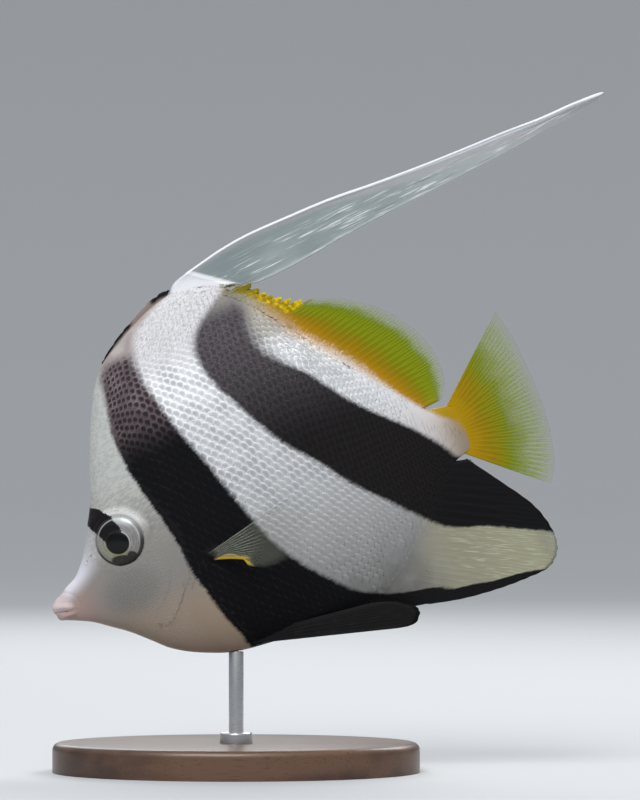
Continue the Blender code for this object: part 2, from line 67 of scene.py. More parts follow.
# %% Sizes of the body
MM = 0.001
SIDES = ((-1, "left"), (1, "right"))
PITCH = math.radians(23.5)
BASE_LENGTH, BASE_WIDTH, BASE_HEIGHT = 124.0, 78.0, 10.0
BELLY_CLEARANCE = 30.0
ROD_RADIUS = 2.5
ROD_STATION = 50.0
BODY_START, BODY_END = -0.8, 152.0

BACK = [(-0.8, -1.5), (0.0, 0.2), (1.2, 1.3), (3.0, 2.0), (5.5, 3.5), (10.0, 5.6), (13.0, 8.4),
        (16.0, 12.0), (20.0, 18.8), (24.0, 25.4), (30.0, 39.8), (36.0, 52.3), (42.0, 62.6),
        (48.0, 68.8), (55.0, 72.7), (62.0, 76.2), (70.0, 79.3), (78.0, 80.8), (86.0, 80.2),
        (92.0, 78.0), (97.0, 74.2), (102.0, 69.0), (107.0, 62.2), (112.0, 54.4), (120.0, 41.8),
        (128.0, 29.8), (134.0, 20.6), (139.0, 13.6), (143.0, 10.1), (146.5, 9.3), (152.0, 7.6)]
BELLY = [(-0.8, -2.9), (0.0, -5.2), (1.5, -6.2), (6.0, -8.4), (10.0, -10.7), (14.0, -13.9),
         (20.0, -18.8), (25.0, -23.8), (30.0, -28.9), (36.0, -33.0), (42.0, -36.0),
         (48.0, -38.5), (54.0, -40.0), (64.0, -41.3), (76.0, -42.6), (88.0, -43.5),
         (98.0, -43.4), (104.0, -41.8), (109.0, -39.2), (114.0, -35.6), (121.0, -29.6),
         (128.0, -22.8), (135.0, -15.8), (140.0, -11.4), (145.0, -9.2), (152.0, -7.6)]
WIDEST_HEIGHT = [(-0.8, -2.2), (5.0, -2.2), (12.0, 0.0), (22.0, 5.0), (32.0, 6.0), (45.0, 3.0),
                 (60.0, 5.0), (80.0, 10.0), (100.0, 9.0), (120.0, 4.0), (135.0, 1.0), (152.0, 0.0)]
HALF_WIDTH = [(-0.8, 0.9), (0.0, 2.0), (2.0, 2.8), (6.0, 3.7), (12.0, 5.4), (20.0, 8.3),
              (29.0, 11.0), (38.0, 12.8), (48.0, 14.0), (60.0, 14.4), (78.0, 13.4),
              (96.0, 10.9), (114.0, 7.8), (130.0, 5.1), (142.0, 3.6), (149.0, 2.5), (152.0, 1.3)]
CREST_HALF_WIDTH = [(-0.8, 0.3), (2.0, 0.9), (12.0, 1.4), (24.0, 1.8), (40.0, 1.5), (60.0, 1.2),
                    (110.0, 1.1), (140.0, 1.1), (152.0, 0.7)]
BACK_SHARPNESS = [(-0.8, 1.0), (15.0, 1.1), (35.0, 1.25), (60.0, 1.45), (90.0, 1.6),
                  (125.0, 1.4), (152.0, 1.0)]
BELLY_SHARPNESS = [(-0.8, 1.0), (20.0, 1.05), (45.0, 1.1), (75.0, 1.15), (100.0, 1.35),
                   (130.0, 1.4), (152.0, 1.0)]


# %% Smooth curves through named points
def through(points):
    """A smooth curve through (place, value) points, which never swings past them."""
    place, value = np.array(points, float).T
    slope = np.diff(value) / np.diff(place)
    tangent = np.concatenate([slope[:1], np.zeros(len(slope) - 1), slope[-1:]])
    same_way = slope[:-1] * slope[1:] > 0
    total = np.where(same_way, slope[:-1] + slope[1:], 1.0)
    tangent[1:-1] = np.where(same_way, 2 * slope[:-1] * slope[1:] / total, 0.0)

    def at(x):
        x = np.clip(x, place[0], place[-1])
        i = np.clip(np.searchsorted(place, x) - 1, 0, len(slope) - 1)
        span = place[i + 1] - place[i]
        t = (x - place[i]) / span
        swing = (t - 1) * t * ((t - 1) * tangent[i] + t * tangent[i + 1])
        return value[i] + (value[i + 1] - value[i]) * t * t * (3 - 2 * t) + span * swing

    return at


def between(keys, share):
    """The rows of numbers at shares of the way through the key rows, on a smooth curve."""
    keys = np.array(keys, float)
    place = np.asarray(share) * (len(keys) - 1)
    i = np.clip(place.astype(int), 0, len(keys) - 2)
    t = (place - i)[:, None]
    a, b, c, d = (keys[np.clip(i + k, 0, len(keys) - 1)] for k in (-1, 0, 1, 2))
    bend, twist = 2 * a - 5 * b + 4 * c - d, 3 * b - a - 3 * c + d
    return 0.5 * (2 * b + (c - a) * t + bend * t ** 2 + twist * t ** 3)


def smooth(value, low, high):
    """0 below low, 1 above high, and an even ease between them."""
    t = np.clip((value - low) / (high - low), 0, 1)
    return t * t * (3 - 2 * t)


def hump(distance, width, power=2):
    """1 at no distance, and a soft fall to nearly nothing at twice the width."""
    return np.exp(-(distance / width) ** power)


back, belly, widest_height = through(BACK), through(BELLY), through(WIDEST_HEIGHT)
half_width, crest = through(HALF_WIDTH), through(CREST_HALF_WIDTH)
back_sharpness, belly_sharpness = through(BACK_SHARPNESS), through(BELLY_SHARPNESS)


def edge_at(x, upper):
    """The body's edge above or below its widest height, and how sharply the flank closes on it."""
    return np.where(upper, back(x), belly(x)), np.where(upper, back_sharpness(x), belly_sharpness(x))


def width_at(x, share, sharpness):
    """The body's half width at a share of the way from its widest height to its edge."""
    return crest(x) + (half_width(x) - crest(x)) * (1 - share * share) ** (sharpness / 2)


def flank(x, lift):
    """(Y, Z) of the right flank. A lift of 1 is the back, 0 the widest height and -1 the belly."""
    edge, sharpness = edge_at(x, lift >= 0)
    turn = lift * math.pi / 2
    y = crest(x) + (half_width(x) - crest(x)) * np.maximum(np.cos(turn), 0) ** sharpness
    return y, widest_height(x) + (edge - widest_height(x)) * np.abs(np.sin(turn))


def side(x, z):
    """The body's half width at a point of its side view."""
    middle = widest_height(x)
    edge, sharpness = edge_at(x, z > middle)
    return width_at(x, np.minimum(np.abs((z - middle) / (edge - middle)), 1.0), sharpness)


# %% The pose
turn_down = Matrix.Rotation(-PITCH, 4, "Y")
stations = np.arange(0.0, 100.0, 0.5)
sine, cosine = math.sin(PITCH), math.cos(PITCH)
lowest = float(min(stations * sine + belly(stations) * cosine))
over_rod = turn_down @ Vector((ROD_STATION, 0, belly(ROD_STATION)))
# The solid model reads its lowest point at its own stations, so the height comes from the frame.
frame_low = min(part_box(name)[0].z for name in ("head", "torso"))
place = Vector((-over_rod.x * MM, 0, frame_low - lowest * MM))
pose = Matrix.Translation(place) @ turn_down @ Matrix.Diagonal((MM, MM, MM, 1))
print("lowest point", round(frame_low / MM, 2), "mm up, planned", BASE_HEIGHT + BELLY_CLEARANCE)


def into_world(points):
    """Points of the fish's own frame, in millimetres, as points of the world in metres."""
    turn = np.array(pose.to_3x3())
    return points @ turn.T + np.array(pose.translation)


# %% [markdown]
# ## Camera, floor and light
#
# The picture was taken level with the fish and square to its left side, so a long lens stands
# far back and looks along +Y. A floor that sweeps up behind the fish leaves no horizon. Light
# in clear shallow water is broad and comes from above, so the key light is a large soft panel
# above the snout, with weaker panels that open up the shadows.

# %% Camera
PHOTO_SCALE = 0.3373  # millimetres of the fish for each pixel of the picture
SNOUT_PIXEL = (54.0, 605.0)
PICTURE = (640, 800)
DISTANCE = 1.5
SENSOR = 36.0
pixel = PHOTO_SCALE * MM
aim = Vector((place.x + (PICTURE[0] / 2 - SNOUT_PIXEL[0]) * pixel, 0,
              place.z + (SNOUT_PIXEL[1] - PICTURE[1] / 2) * pixel))
camera = bpy.data.objects.new("camera", bpy.data.cameras.new("camera"))
bpy.context.scene.collection.objects.link(camera)
camera.data.sensor_width = SENSOR
camera.data.lens = SENSOR * DISTANCE / (PICTURE[1] * pixel)
camera.location = aim + Vector((0, -DISTANCE, 0))
camera.rotation_euler = (math.pi / 2, 0, 0)
camera.data.clip_end = 20
bpy.context.scene.camera = camera
print("lens", round(camera.data.lens, 1), "aim", [round(v, 4) for v in aim])


# %% Helpers that link a finished mesh
def only(kind, geometry):
    """The edges, or the vertices, among what an operator made."""
    return [each for each in geometry if isinstance(each, kind)]


def link(mesh):
    """A smoothly shaded object of a mesh whose points are in their places."""
    mesh.shade_smooth()
    made = bpy.data.objects.new(mesh.name, mesh)
    bpy.context.scene.collection.objects.link(made)
    return made


def to_object(form, name):
    mesh = bpy.data.meshes.new(name)
    form.to_mesh(mesh)
    form.free()
    return link(mesh)


def dress(piece, finish, slot, *nodes):
    """Gives a piece its finish, its body and the nodes that it stands for. The slot is not used."""
    piece.data.materials.clear()
    piece.data.materials.append(finish)
    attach(piece, "root")
    if nodes:
        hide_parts(*nodes)
    print(piece.name, len(piece.data.polygons), "faces")
    return piece


# %% Floor and lights
def soft_panel(name, where, size, power, tint=(1, 1, 1)):
    """A square panel of light that faces the fish."""
    lamp = bpy.data.lights.new(name, "AREA")
    lamp.size, lamp.energy, lamp.color = size, power, tint
    panel = bpy.data.objects.new(name, lamp)
    panel.visible_camera = False
    panel.location = where
    panel.rotation_euler = (Vector((0.02, 0, 0.13)) - Vector(where)).to_track_quat("-Z", "Y").to_euler()
    bpy.context.scene.collection.objects.link(panel)


floor_form = bmesh.new()
bmesh.ops.create_circle(floor_form, cap_ends=True, segments=128, radius=3.2)
rim = [each for each in floor_form.edges if each.is_boundary]
for lean in np.linspace(0, math.pi / 2, 9):  # the floor sweeps up ever more steeply at its rim
    grown = bmesh.ops.extrude_edge_only(floor_form, edges=rim)["geom"]
    rim, raised = only(BMEdge, grown), only(BMVert, grown)
    wider = 1 + 0.14 * math.cos(lean)
    bmesh.ops.scale(floor_form, vec=(wider, wider, 1), verts=raised)
    bmesh.ops.translate(floor_form, vec=(0, 0, 0.34 * math.sin(lean)), verts=raised)
bmesh.ops.recalc_face_normals(floor_form, faces=floor_form.faces)
floor = to_object(floor_form, "floor")

soft_panel("key_light", (-0.12, -0.50, 0.66), 0.36, 4.2)
soft_panel("rim_light", (0.5, 0.55, 0.75), 0.5, 4.5)
soft_panel("back_fill", (-0.2, 0.9, 0.6), 0.6, 3.0)
sky = bpy.data.worlds.new("studio")
sky.use_nodes = True
tree = sky.node_tree
coordinates = tree.nodes.new("ShaderNodeTexCoord")
parts = tree.nodes.new("ShaderNodeSeparateXYZ")
ramp = tree.nodes.new("ShaderNodeMapRange")
ramp.inputs["From Min"].default_value = -0.1
ramp.inputs["To Min"].default_value = 0.30
ramp.inputs["To Max"].default_value = 0.80
tree.links.new(coordinates.outputs["Generated"], parts.inputs[0])
tree.links.new(parts.outputs["Z"], ramp.inputs["Value"])
tree.links.new(ramp.outputs[0], tree.nodes["Background"].inputs["Strength"])
tree.nodes["Background"].inputs["Color"].default_value = (0.94, 0.97, 1.0, 1)
bpy.context.scene.world = sky
bpy.context.scene.view_settings.view_transform = "Standard"

# %% [markdown]
# ## Writing a finish
#
# A finish is a small network of nodes. Wiring them by hand is slow to read, so one class holds
# a socket and turns Python sums into Math nodes. Any other node comes from one method that
# takes its type, its settings and what goes into its sockets.


# %% Sockets as Python values
class Wire:
    """A number, colour or vector on its way between the nodes of a finish."""

    def __init__(self, finish, socket):
        self.finish, self.socket = finish, socket

    def sum(self, operation, *values):
        return self.finish.node("ShaderNodeMath", {"operation": operation}, dict(enumerate(values)))

    def __add__(self, other):
        return self.sum("ADD", self, other)

    def __sub__(self, other):
        return self.sum("SUBTRACT", self, other)

    def __rsub__(self, other):
        return self.sum("SUBTRACT", other, self)

    def __mul__(self, other):
        return self.sum("MULTIPLY", self, other)

    def __truediv__(self, other):
        return self.sum("DIVIDE", self, other)

    def __pow__(self, other):
        return self.sum("POWER", self, other)

    __radd__, __rmul__ = __add__, __mul__

    def ease(self, low, high):
        """0 at low, 1 at high, and smooth between, whichever of them is larger."""
        return self.finish.node("ShaderNodeMapRange", {"interpolation_type": "SMOOTHSTEP"},
                                {"Value": self, "From Min": low, "From Max": high})


class Finish:
    """A material whose nodes are written as sums and calls."""

    def __init__(self, name, **sockets):
        self.material = bpy.data.materials.new(name)
        self.material.use_nodes = True
        self.tree = self.material.node_tree
        self.shader = self.tree.nodes["Principled BSDF"]
        for socket, value in sockets.items():
            self.shader.inputs[socket.replace("_", " ")].default_value = value

    def node(self, kind, settings, sockets, output=0):
        """A node, its settings made first, and its sockets filled with values or wires."""
        made = self.tree.nodes.new(kind)
        for setting, value in settings.items():
            if setting == "curve":
                line = made.mapping.curves[0]
                while len(line.points) < len(value):
                    line.points.new(0.5, 0.5)
                for point, spot in zip(line.points, value):
                    point.location, point.handle_type = spot, "AUTO_CLAMPED"
                made.mapping.extend = "HORIZONTAL"
                made.mapping.update()
            else:
                setattr(made, setting, value)
        for socket, value in sockets.items():
            if isinstance(value, Wire):
                self.tree.links.new(value.socket, made.inputs[socket])
            else:
                made.inputs[socket].default_value = value
        return Wire(self, made.outputs[output])

    def blend(self, share, low, high):
        """A colour on the way from low to high."""
        low, high = ((*each, 1) if isinstance(each, tuple) else each for each in (low, high))
        return self.node("ShaderNodeMix", {"data_type": "RGBA"}, {0: share, 6: low, 7: high}, output=2)

    def coats(self, ground, *coats):
        """Colours laid over a ground one after the other, each as far as its mask lets it show."""
        for mask, colour in coats:
            ground = self.blend(mask, ground, colour)
        return ground

    def split(self, vector):
        return [self.node("ShaderNodeSeparateXYZ", {}, {0: vector}, output=k) for k in range(3)]

    def attribute(self, name):
        return self.node("ShaderNodeAttribute", {"attribute_name": name}, {}, output="Vector")

    def noise(self, vector, size, detail=3.0):
        """Cloudy noise whose clouds are about that size, in the vector's own units."""
        return self.node("ShaderNodeTexNoise", {}, {"Vector": vector, "Scale": 1 / size, "Detail": detail})

    def cells(self, vector, size):
        """How far a point is from the edges of rounded cells of about that size."""
        return self.node("ShaderNodeTexVoronoi", {"feature": "DISTANCE_TO_EDGE"},
                         {"Vector": vector, "Scale": 1 / size}, output="Distance")

    def seen(self, scale=None):
        """The object's own coordinates, stretched by a scale if there is one."""
        point = self.node("ShaderNodeTexCoord", {}, {}, output="Object")
        return self.node("ShaderNodeMapping", {}, {"Vector": point, "Scale": scale}) if scale else point

    def along(self, point, climb, length):
        """Coordinates in which every feature is longer along a line that climbs towards the tail."""
        return self.node("ShaderNodeMapping", {"vector_type": "TEXTURE"}, {
            "Vector": point, "Rotation": (0, -climb, 0), "Scale": (length, 1.0, 1.0)})

    def bump(self, height, distance, strength=1.0):
        sockets = {"Height": height, "Distance": distance, "Strength": strength}
        return self.node("ShaderNodeBump", {}, sockets)

    def wear(self, **wires):
        """Links wires to the shader's sockets, and gives back the material."""
        for socket, wire in wires.items():
            self.tree.links.new(wire.socket, self.shader.inputs[socket.replace("_", " ")])
        return self.material


# %% Plain finishes of the studio
floor_finish = Finish("studio_floor", Roughness=0.85)
floor_finish.shader.inputs["Base Color"].default_value = (0.53, 0.545, 0.56, 1)
floor.data.materials.append(floor_finish.material)

# %% [markdown]
# ## The markings
#
# Two black bands cross a white body, a short black bar joins the brow to the eye, and the
# hind fins are yellow. The bands are the same on skin, scales and fins, so they are worked
# out once, as curves that give each band's edge for a height on the fish. Reading the height
# from the object's own coordinates, turned level again, keeps every piece in step, which a
# painted map for each piece would not.

# %% Edges of the bands, as (height, station) points
BAND_ONE_FRONT = [(-45, 58.0), (-39, 55.2), (-34, 54.2), (-25, 51.3), (-16, 49.4), (-8, 47.5),
                  (1, 47.2), (11, 45.7), (21, 43.6), (33, 41.3), (44, 41.1), (54, 43.0), (62, 44.6),
                  (70, 47.0), (80, 48.0)]
BAND_ONE_REAR = [(-56.5, 162.0), (-54.7, 156.0), (-53.0, 150.0), (-51.6, 139.0), (-49.8, 132.0),
                 (-48.6, 125.4), (-46.4, 122.0), (-43.1, 109.8), (-41, 104.4), (-36.2, 96),
                 (-29, 89.4), (-20.6, 82.8), (-11, 77.4), (-1.4, 73.8), (12.4, 69.9), (25.3, 66.3),
                 (38.7, 62), (53, 58.8), (58.3, 57.9), (64.4, 57.8), (68.3, 59.0), (71.9, 61.0),
                 (74.5, 63.8), (77.3, 68.9), (79.6, 73.8), (82, 77.0)]
BAND_TWO_FRONT = [(-60, 175), (-50, 170), (-44.2, 163.5), (-39, 154), (-34.2, 145.3),
                  (-28.6, 132.3), (-22, 125.5), (-12.1, 116.9), (-1.9, 108.1), (9.1, 100.8),
                  (19.4, 92.7), (29.2, 87.5), (38.7, 83.1), (47.2, 79.3), (58, 77.5), (62, 78.8),
                  (66, 81.5), (70, 86.5), (73.5, 92.5), (76, 97.5), (80, 104)]
BAND_TWO_REAR = [(-14, 230), (-9, 146), (-3.3, 141.9), (4.7, 136), (14.3, 127.2), (24.5, 118.4),
                 (35.5, 111.2), (45, 103.4), (51.7, 99.3), (58, 98.4), (65.6, 99.4), (72, 98.5),
                 (78, 97.0)]
BAR_FRONT = [(9.0, 26.6), (11.0, 25.8), (12.4, 25.0), (14.5, 24.1), (16.4, 23.2), (17.4, 22.4),
             (19.3, 21.5), (21, 21.1), (26, 23.8)]
BAR_REAR = [(9.0, 31.5), (13.2, 31.4), (15.4, 31.4), (17.0, 30.8), (18.4, 30.2), (19.4, 30.2),
            (21.5, 28.5), (24.0, 26.7), (25.2, 24.4), (27, 23.0)]
YELLOW_EDGE = [(-60, 239), (-22, 236), (-15, 190), (-11.5, 152), (-9, 150.4), (-5.8, 151.6),
               (-2.2, 151), (0, 150), (3.5, 148), (6, 145.4), (9.8, 141.8), (13.6, 138.8),
               (20.6, 133.8), (29.8, 127.8), (39, 121.2), (43, 117.8), (47, 114.6), (52, 110.6),
               (54.4, 109.6), (59, 107.6), (62.8, 105), (66, 103.4), (68.2, 101.8), (71, 98.8),
               (74.3, 95.2), (76, 95.5), (90, 112)]
LOW, HIGH, FAR = -60.0, 90.0, 240.0  # the heights and stations that the curves run between
CLIMB = math.radians(15)  # how steeply the scales' rows climb towards the tail
GOLD, AMBER = (0.40, 0.190, 0.001), (0.38, 0.225, 0.001)  # the yellow fins at their roots
BLACK = (0.0045, 0.0045, 0.005)  # the skin of the black fins


# %% Markings as nodes
def edge_of(finish, height, points):
    """The station of a marking's edge at a height."""
    curve = [((z - LOW) / (HIGH - LOW), x / FAR) for z, x in points]
    share = (height - LOW) / (HIGH - LOW)
    return finish.node("ShaderNodeFloatCurve", {"curve": curve}, {"Value": share}) * FAR


def fish_point(finish):
    """The point in the fish's own level frame, in millimetres, from the object's coordinates."""
    back_home = pose.inverted()
    turn = back_home.to_3x3().normalized().to_euler("XYZ")
    return finish.node("ShaderNodeMapping", {"vector_type": "POINT"}, {
        "Vector": finish.seen(), "Location": back_home.translation, "Rotation": turn,
        "Scale": (1 / MM,) * 3})


class Markings:
    """The bands, the eye bar and the yellow fins' edge at a point of the fish, each as a mask."""

    def __init__(self, finish, rough=1.0):
        self.finish, self.point = finish, fish_point(finish)
        self.x, _, self.z = finish.split(self.point)
        z = self.z
        hair = finish.noise(finish.along(self.point, CLIMB, 4.0), 0.45, detail=2) - 0.5
        cloud = finish.noise(self.point, 2.4, detail=2) - 0.5
        x = self.x + (hair * 1.6 + cloud * 1.3) * rough
        soft = z.ease(46, 74) * 1.5 + 1.3
        self.first = ((x - edge_of(finish, z, BAND_ONE_FRONT)) / (soft - 0.5)).ease(-1, 1)
        self.first = self.first * ((edge_of(finish, z, BAND_ONE_REAR) - x) / soft).ease(-1, 1)
        self.second = ((x - edge_of(finish, z, BAND_TWO_FRONT)) / soft).ease(-1, 1)
        soft = z.ease(38, 50) * 2.2 + 1.3
        self.second = self.second * ((edge_of(finish, z, BAND_TWO_REAR) - x) / soft).ease(-1, 1)
        x = self.x + hair * 1.6 * rough
        self.bar = ((x - edge_of(finish, z, BAR_FRONT)).ease(-0.3, 0.3)
                    * (edge_of(finish, z, BAR_REAR) - x).ease(-0.3, 0.3)
                    * z.ease(8.6, 9.2) * z.ease(26.2, 25.0))
        reach = z.ease(14, 44) * 3.0 + z.ease(8, -2) * 1.2 + 1.4
        x = self.x + hair * reach * 1.7
        self.yellow = ((x - edge_of(finish, z, YELLOW_EDGE)) / reach).ease(-1, 1)

    def band_ink(self, spot, top, deep, net, middle):
        """A band's ink: deep black low down, and a net round darker scale middles towards the back."""
        blend = self.finish.blend
        return blend(spot, blend(top, deep[0], net), blend(top, deep[1], middle))

    def body_colour(self, pale, spot=0.5, yellow=GOLD):
        """Pale ground, then the bands and the yellow over it. Spot is the dark middle of each scale."""
        finish, point, z = self.finish, self.point, self.z
        nape, top_two = z.ease(65, 70), z.ease(16, 62)
        cloud = finish.noise(point, 5.0, detail=4).ease(0.35, 0.7)
        brown_net = finish.blend(cloud, (0.120, 0.092, 0.100), (0.215, 0.172, 0.180))
        first_ink = finish.coats(
            self.band_ink(spot, z.ease(32, 54), ((0.0045, 0.0045, 0.0055), (0.0035, 0.0035, 0.0045)),
                          brown_net, (0.034, 0.023, 0.029)),
            (nape, (0.41, 0.37, 0.355)),
            (nape * cloud * 0.5, (0.22, 0.175, 0.165)))
        dashes = finish.noise(finish.along(point, CLIMB, 2.2), 0.34, detail=1).ease(0.52, 0.64)
        second_ink = finish.coats(
            self.band_ink(spot, top_two, ((0.0125, 0.0110, 0.0115), (0.0080, 0.0070, 0.0075)),
                          (0.088, 0.078, 0.086), (0.050, 0.042, 0.048)),
            (dashes * top_two * 0.45, (0.155, 0.145, 0.160)),
            (z.ease(65, 74) * 0.8, (0.32, 0.30, 0.275)))
        olive = finish.coats(yellow, (self.x.ease(108, 99) * z.ease(60, 68), (0.17, 0.14, 0.003)),
                             (self.x.ease(136, 142) * z.ease(14, 9), AMBER))
        return finish.coats(pale, (self.first, first_ink), (self.second, second_ink),
                            (self.bar, (0.010, 0.0075, 0.009)), (self.yellow, olive))


# %% [markdown]
# ## The skin
#
# One sheet of skin covers head, body and tail root, with no seam where the solid model is
# parted. It could be sculpted or remeshed from the solids, but a grid wrapped round the
# body's own curves gives even faces, a clean unwrap, and fine rows where the lips, the mouth,
# the rim of the eye and the gill cover need them. It lies inside the solids by the depth of
# the scales that cover it.

# %% Small forms on the head
EYE_CENTRE = (29.4, 11.3)
EYE_RADIUS, EYE_DEPTH, EYE_BULGE, EYE_STEP = 8.6, 3.0, 2.0, 3.0
EYE_OPENING = 8.3
MOUTH_LINE = [(-4.0, -2.5), (0.0, -2.8), (2.6, -3.4), (4.8, -4.4)]
UPPER_LIP = [(5.4, 3.6, -3.1), (3.2, 3.0, -2.0), (1.2, 2.2, -1.4), (0.3, 1.0, -1.2),
             (0.1, 0.0, -1.2)]
LOWER_LIP = [(5.2, 3.4, -5.2), (3.4, 2.8, -4.9), (1.8, 2.0, -4.7), (1.1, 0.9, -4.6),
             (0.9, 0.0, -4.6)]
LIP_GROOVE = [(3.8, 3.4), (5.2, 2.1), (7.2, 0.9), (8.4, -0.8), (8.3, -3.0)]
NOSTRILS = [(16.2, 8.9), (18.3, 10.1)]
GILL_EDGE = [(43.0, 24.0), (45.0, 17.0), (46.7, 10.0), (47.6, 4.0), (47.8, -2.0), (47.2, -7.0),
             (46.2, -10.2), (43.0, -12.6), (41.0, -15.0), (39.1, -17.2), (36.7, -19.4),
             (34.3, -20.8), (31.7, -21.3), (28.7, -20.9)]
CHEEK_EDGE = [(37.5, 15.0), (40.5, 8.0), (41.3, 0.0), (39.6, -7.5), (35.6, -12.6), (30.0, -15.6),
              (23.0, -17.6)]
PECTORAL_ROOT = (55.0, -6.2)
COAT_DEPTH = through([(-0.8, 0.0), (8.0, 0.02), (16.0, 0.10), (44.0, 0.16), (54.0, 0.38),
                      (130.0, 0.30), (146.0, 0.16), (152.0, 0.10)])


def distance_to(path, points):
    """How far points are from a path, and on which side of it, in two or three dimensions."""
    path = np.array(path, float)
    best = np.full(len(points), 1e9)
    hand = np.ones(len(points))
    for a, b in zip(path[:-1], path[1:]):
        run = b - a
        share = np.clip((points - a) @ run / (run @ run), 0, 1)
        away = points - a - share[:, None] * run
        distance = np.linalg.norm(away, axis=1)
        closer = distance < best
        best[closer] = distance[closer]
        if points.shape[1] == 2:
            hand[closer] = np.sign(run[0] * away[closer, 1] - run[1] * away[closer, 0])
    return best, hand


def relief(points):
    """How far each point of the skin stands out of the plain body, in millimetres."""
    x, y, z = points.T
    flat = points[:, [0, 2]]
    both = np.column_stack([x, np.abs(y), z])
    out = -COAT_DEPTH(x)
    snout = 1 - smooth(x, 5.0, 9.0)
    for lip in (UPPER_LIP, LOWER_LIP):
        out += 0.85 * hump(distance_to(lip, both)[0], 1.05) * snout
    out -= 0.16 * hump(distance_to(LIP_GROOVE, flat)[0], 0.60)
    slit = distance_to(MOUTH_LINE, flat)[0]
    out -= 0.55 * hump(slit, 0.15) * snout * (1 - smooth(x, 3.0, 4.4))
    across = np.hypot(x - EYE_CENTRE[0], z - EYE_CENTRE[1])
    on_side = smooth(np.abs(y), 2.0, 4.0)
    above = ((x - EYE_CENTRE[0]) * sine + (z - EYE_CENTRE[1]) * cosine) / EYE_OPENING
    brow = smooth(above, 0.0, 0.9)
    out += (0.14 + 0.22 * brow) * hump(across - EYE_OPENING - 0.60, 0.50) * on_side
    out += (0.10 + 0.16 * brow) * hump(across - EYE_OPENING - 2.5, 0.75) * on_side
    out -= 2.3 * (1 - smooth(across, EYE_OPENING - 1.2, EYE_OPENING + 0.15)) * on_side
    for nx, nz in NOSTRILS:
        hole = np.hypot(x - nx, z - nz)
        out += (0.14 * hump(hole - 0.75, 0.30) - 0.5 * hump(hole, 0.36, 4)) * on_side
    gap, hand = distance_to(GILL_EDGE, flat)
    seen = smooth(x, 27, 36) * (1 - smooth(z, 6, 22))
    out -= 0.30 * hump(gap, 0.17) * seen
    out += np.where(hand < 0, 0.15, -0.06) * hump(gap, 2.2) * (1 - hump(gap, 0.35)) * seen
    gap, hand = distance_to(CHEEK_EDGE, flat)
    out += np.where(hand < 0, 0.05, -0.03) * hump(gap, 1.8) * smooth(x, 26, 34)
    root = np.hypot((x - PECTORAL_ROOT[0] + 0.8) / 1.5, (z - PECTORAL_ROOT[1]) / 1.1)
    return out + 0.70 * hump(root, 1.7)


# %% The skin's sheet
CAP = 0.03  # the share of each flank's rows that rounds the crest over
HEAD_SHARE = 0.56  # the share of the columns that the head takes
HEAD_END = 48.0
OVERHANG = 0.3  # how far the skin's two ends lie beyond the body's
SKIN_COLUMNS, SKIN_ROWS = 330, 220


def skin_station(s):
    """Stations crowd into the head, where the small forms are."""
    start, end = BODY_START - OVERHANG, BODY_END + OVERHANG
    head = start + (HEAD_END - start) * (s / HEAD_SHARE) ** 1.25
    behind = HEAD_END + (end - HEAD_END) * (s - HEAD_SHARE) / (1 - HEAD_SHARE)
    return np.where(s < HEAD_SHARE, head, behind)


def plain_skin(s, t):
    """A point of the plain body. s runs from snout to tail, and t from the back down the right side
    and up the left one."""
    x = skin_station(np.clip(s, 0, 1))
    t = np.mod(t, 1.0)
    down = np.where(t < 0.5, 2 * t, 2 - 2 * t)
    lift = 1 - 2 * (np.clip(down, CAP, 1 - CAP) - CAP) / (1 - 2 * CAP)
    station = np.clip(x, BODY_START, BODY_END)
    y, z = flank(station, lift)
    cap = np.clip(np.minimum(down, 1 - down) / CAP, 0, 1)
    z = z + np.sign(lift) * 0.35 * crest(station) * (1 - cap ** 2 - np.abs(lift) ** 6)
    y = y * cap * (1 - 0.75 * smooth(x, 143.5, 151.5))
    closing = np.where((s <= 0) | (s >= 1), 0.0, 1.0)
    middle = np.where(s < 0.5, -2.2, 0.0)
    return np.column_stack([x, np.where(t < 0.5, 1, -1) * y * closing, middle + (z - middle) * closing])


def skin_surface(s, t):
    """A point of the finished skin, set off from the plain body the way that the body faces there."""
    step = 1e-4
    along = plain_skin(np.minimum(s + step, 1 - 1e-6), t) - plain_skin(np.maximum(s - step, 1e-6), t)
    facing = np.cross(along, plain_skin(s, t + step) - plain_skin(s, t - step))
    length = np.linalg.norm(facing, axis=1)
    flat_end = (s <= 1e-6) | (s >= 1 - 1e-6) | (length < 1e-12)
    facing[flat_end] = np.where(s[flat_end] < 0.5, -1, 1)[:, None] * np.array([[1.0, 0, 0]])
    facing /= np.linalg.norm(facing, axis=1, keepdims=True)
    points = plain_skin(s, t)
    return points + facing * relief(points)[:, None]


def shaped_grid(columns, rows, shape, marks=()):
    """A grid whose two directions run from 0 to 1, moved to the shape's points and closed where its
    edges meet. The shape gives points in millimetres, and the values of any named marks."""
    form = bmesh.new()
    bmesh.ops.create_grid(form, x_segments=columns, y_segments=rows, size=0.5)
    s = np.array([v.co.x for v in form.verts]) + 0.5
    t = np.array([v.co.y for v in form.verts]) + 0.5
    unwrap = form.loops.layers.uv.new("unwrap")
    for face in form.faces:
        for loop in face.loops:
            loop[unwrap].uv = loop.vert.co.x + 0.5, loop.vert.co.y + 0.5
    points, values = shape(s, t)
    layers = [form.verts.layers.float.new(mark) for mark in marks]
    for layer, column in zip(layers, values):
        for corner, value in zip(form.verts, column):
            corner[layer] = value
    for corner, point in zip(form.verts, into_world(points)):
        corner.co = point
    bmesh.ops.remove_doubles(form, verts=form.verts, dist=2e-6)
    bmesh.ops.recalc_face_normals(form, faces=form.faces)
    return form


skin_form = shaped_grid(SKIN_COLUMNS, SKIN_ROWS, lambda s, t: (skin_surface(s, t), ()))
skin = to_object(skin_form, "skin")

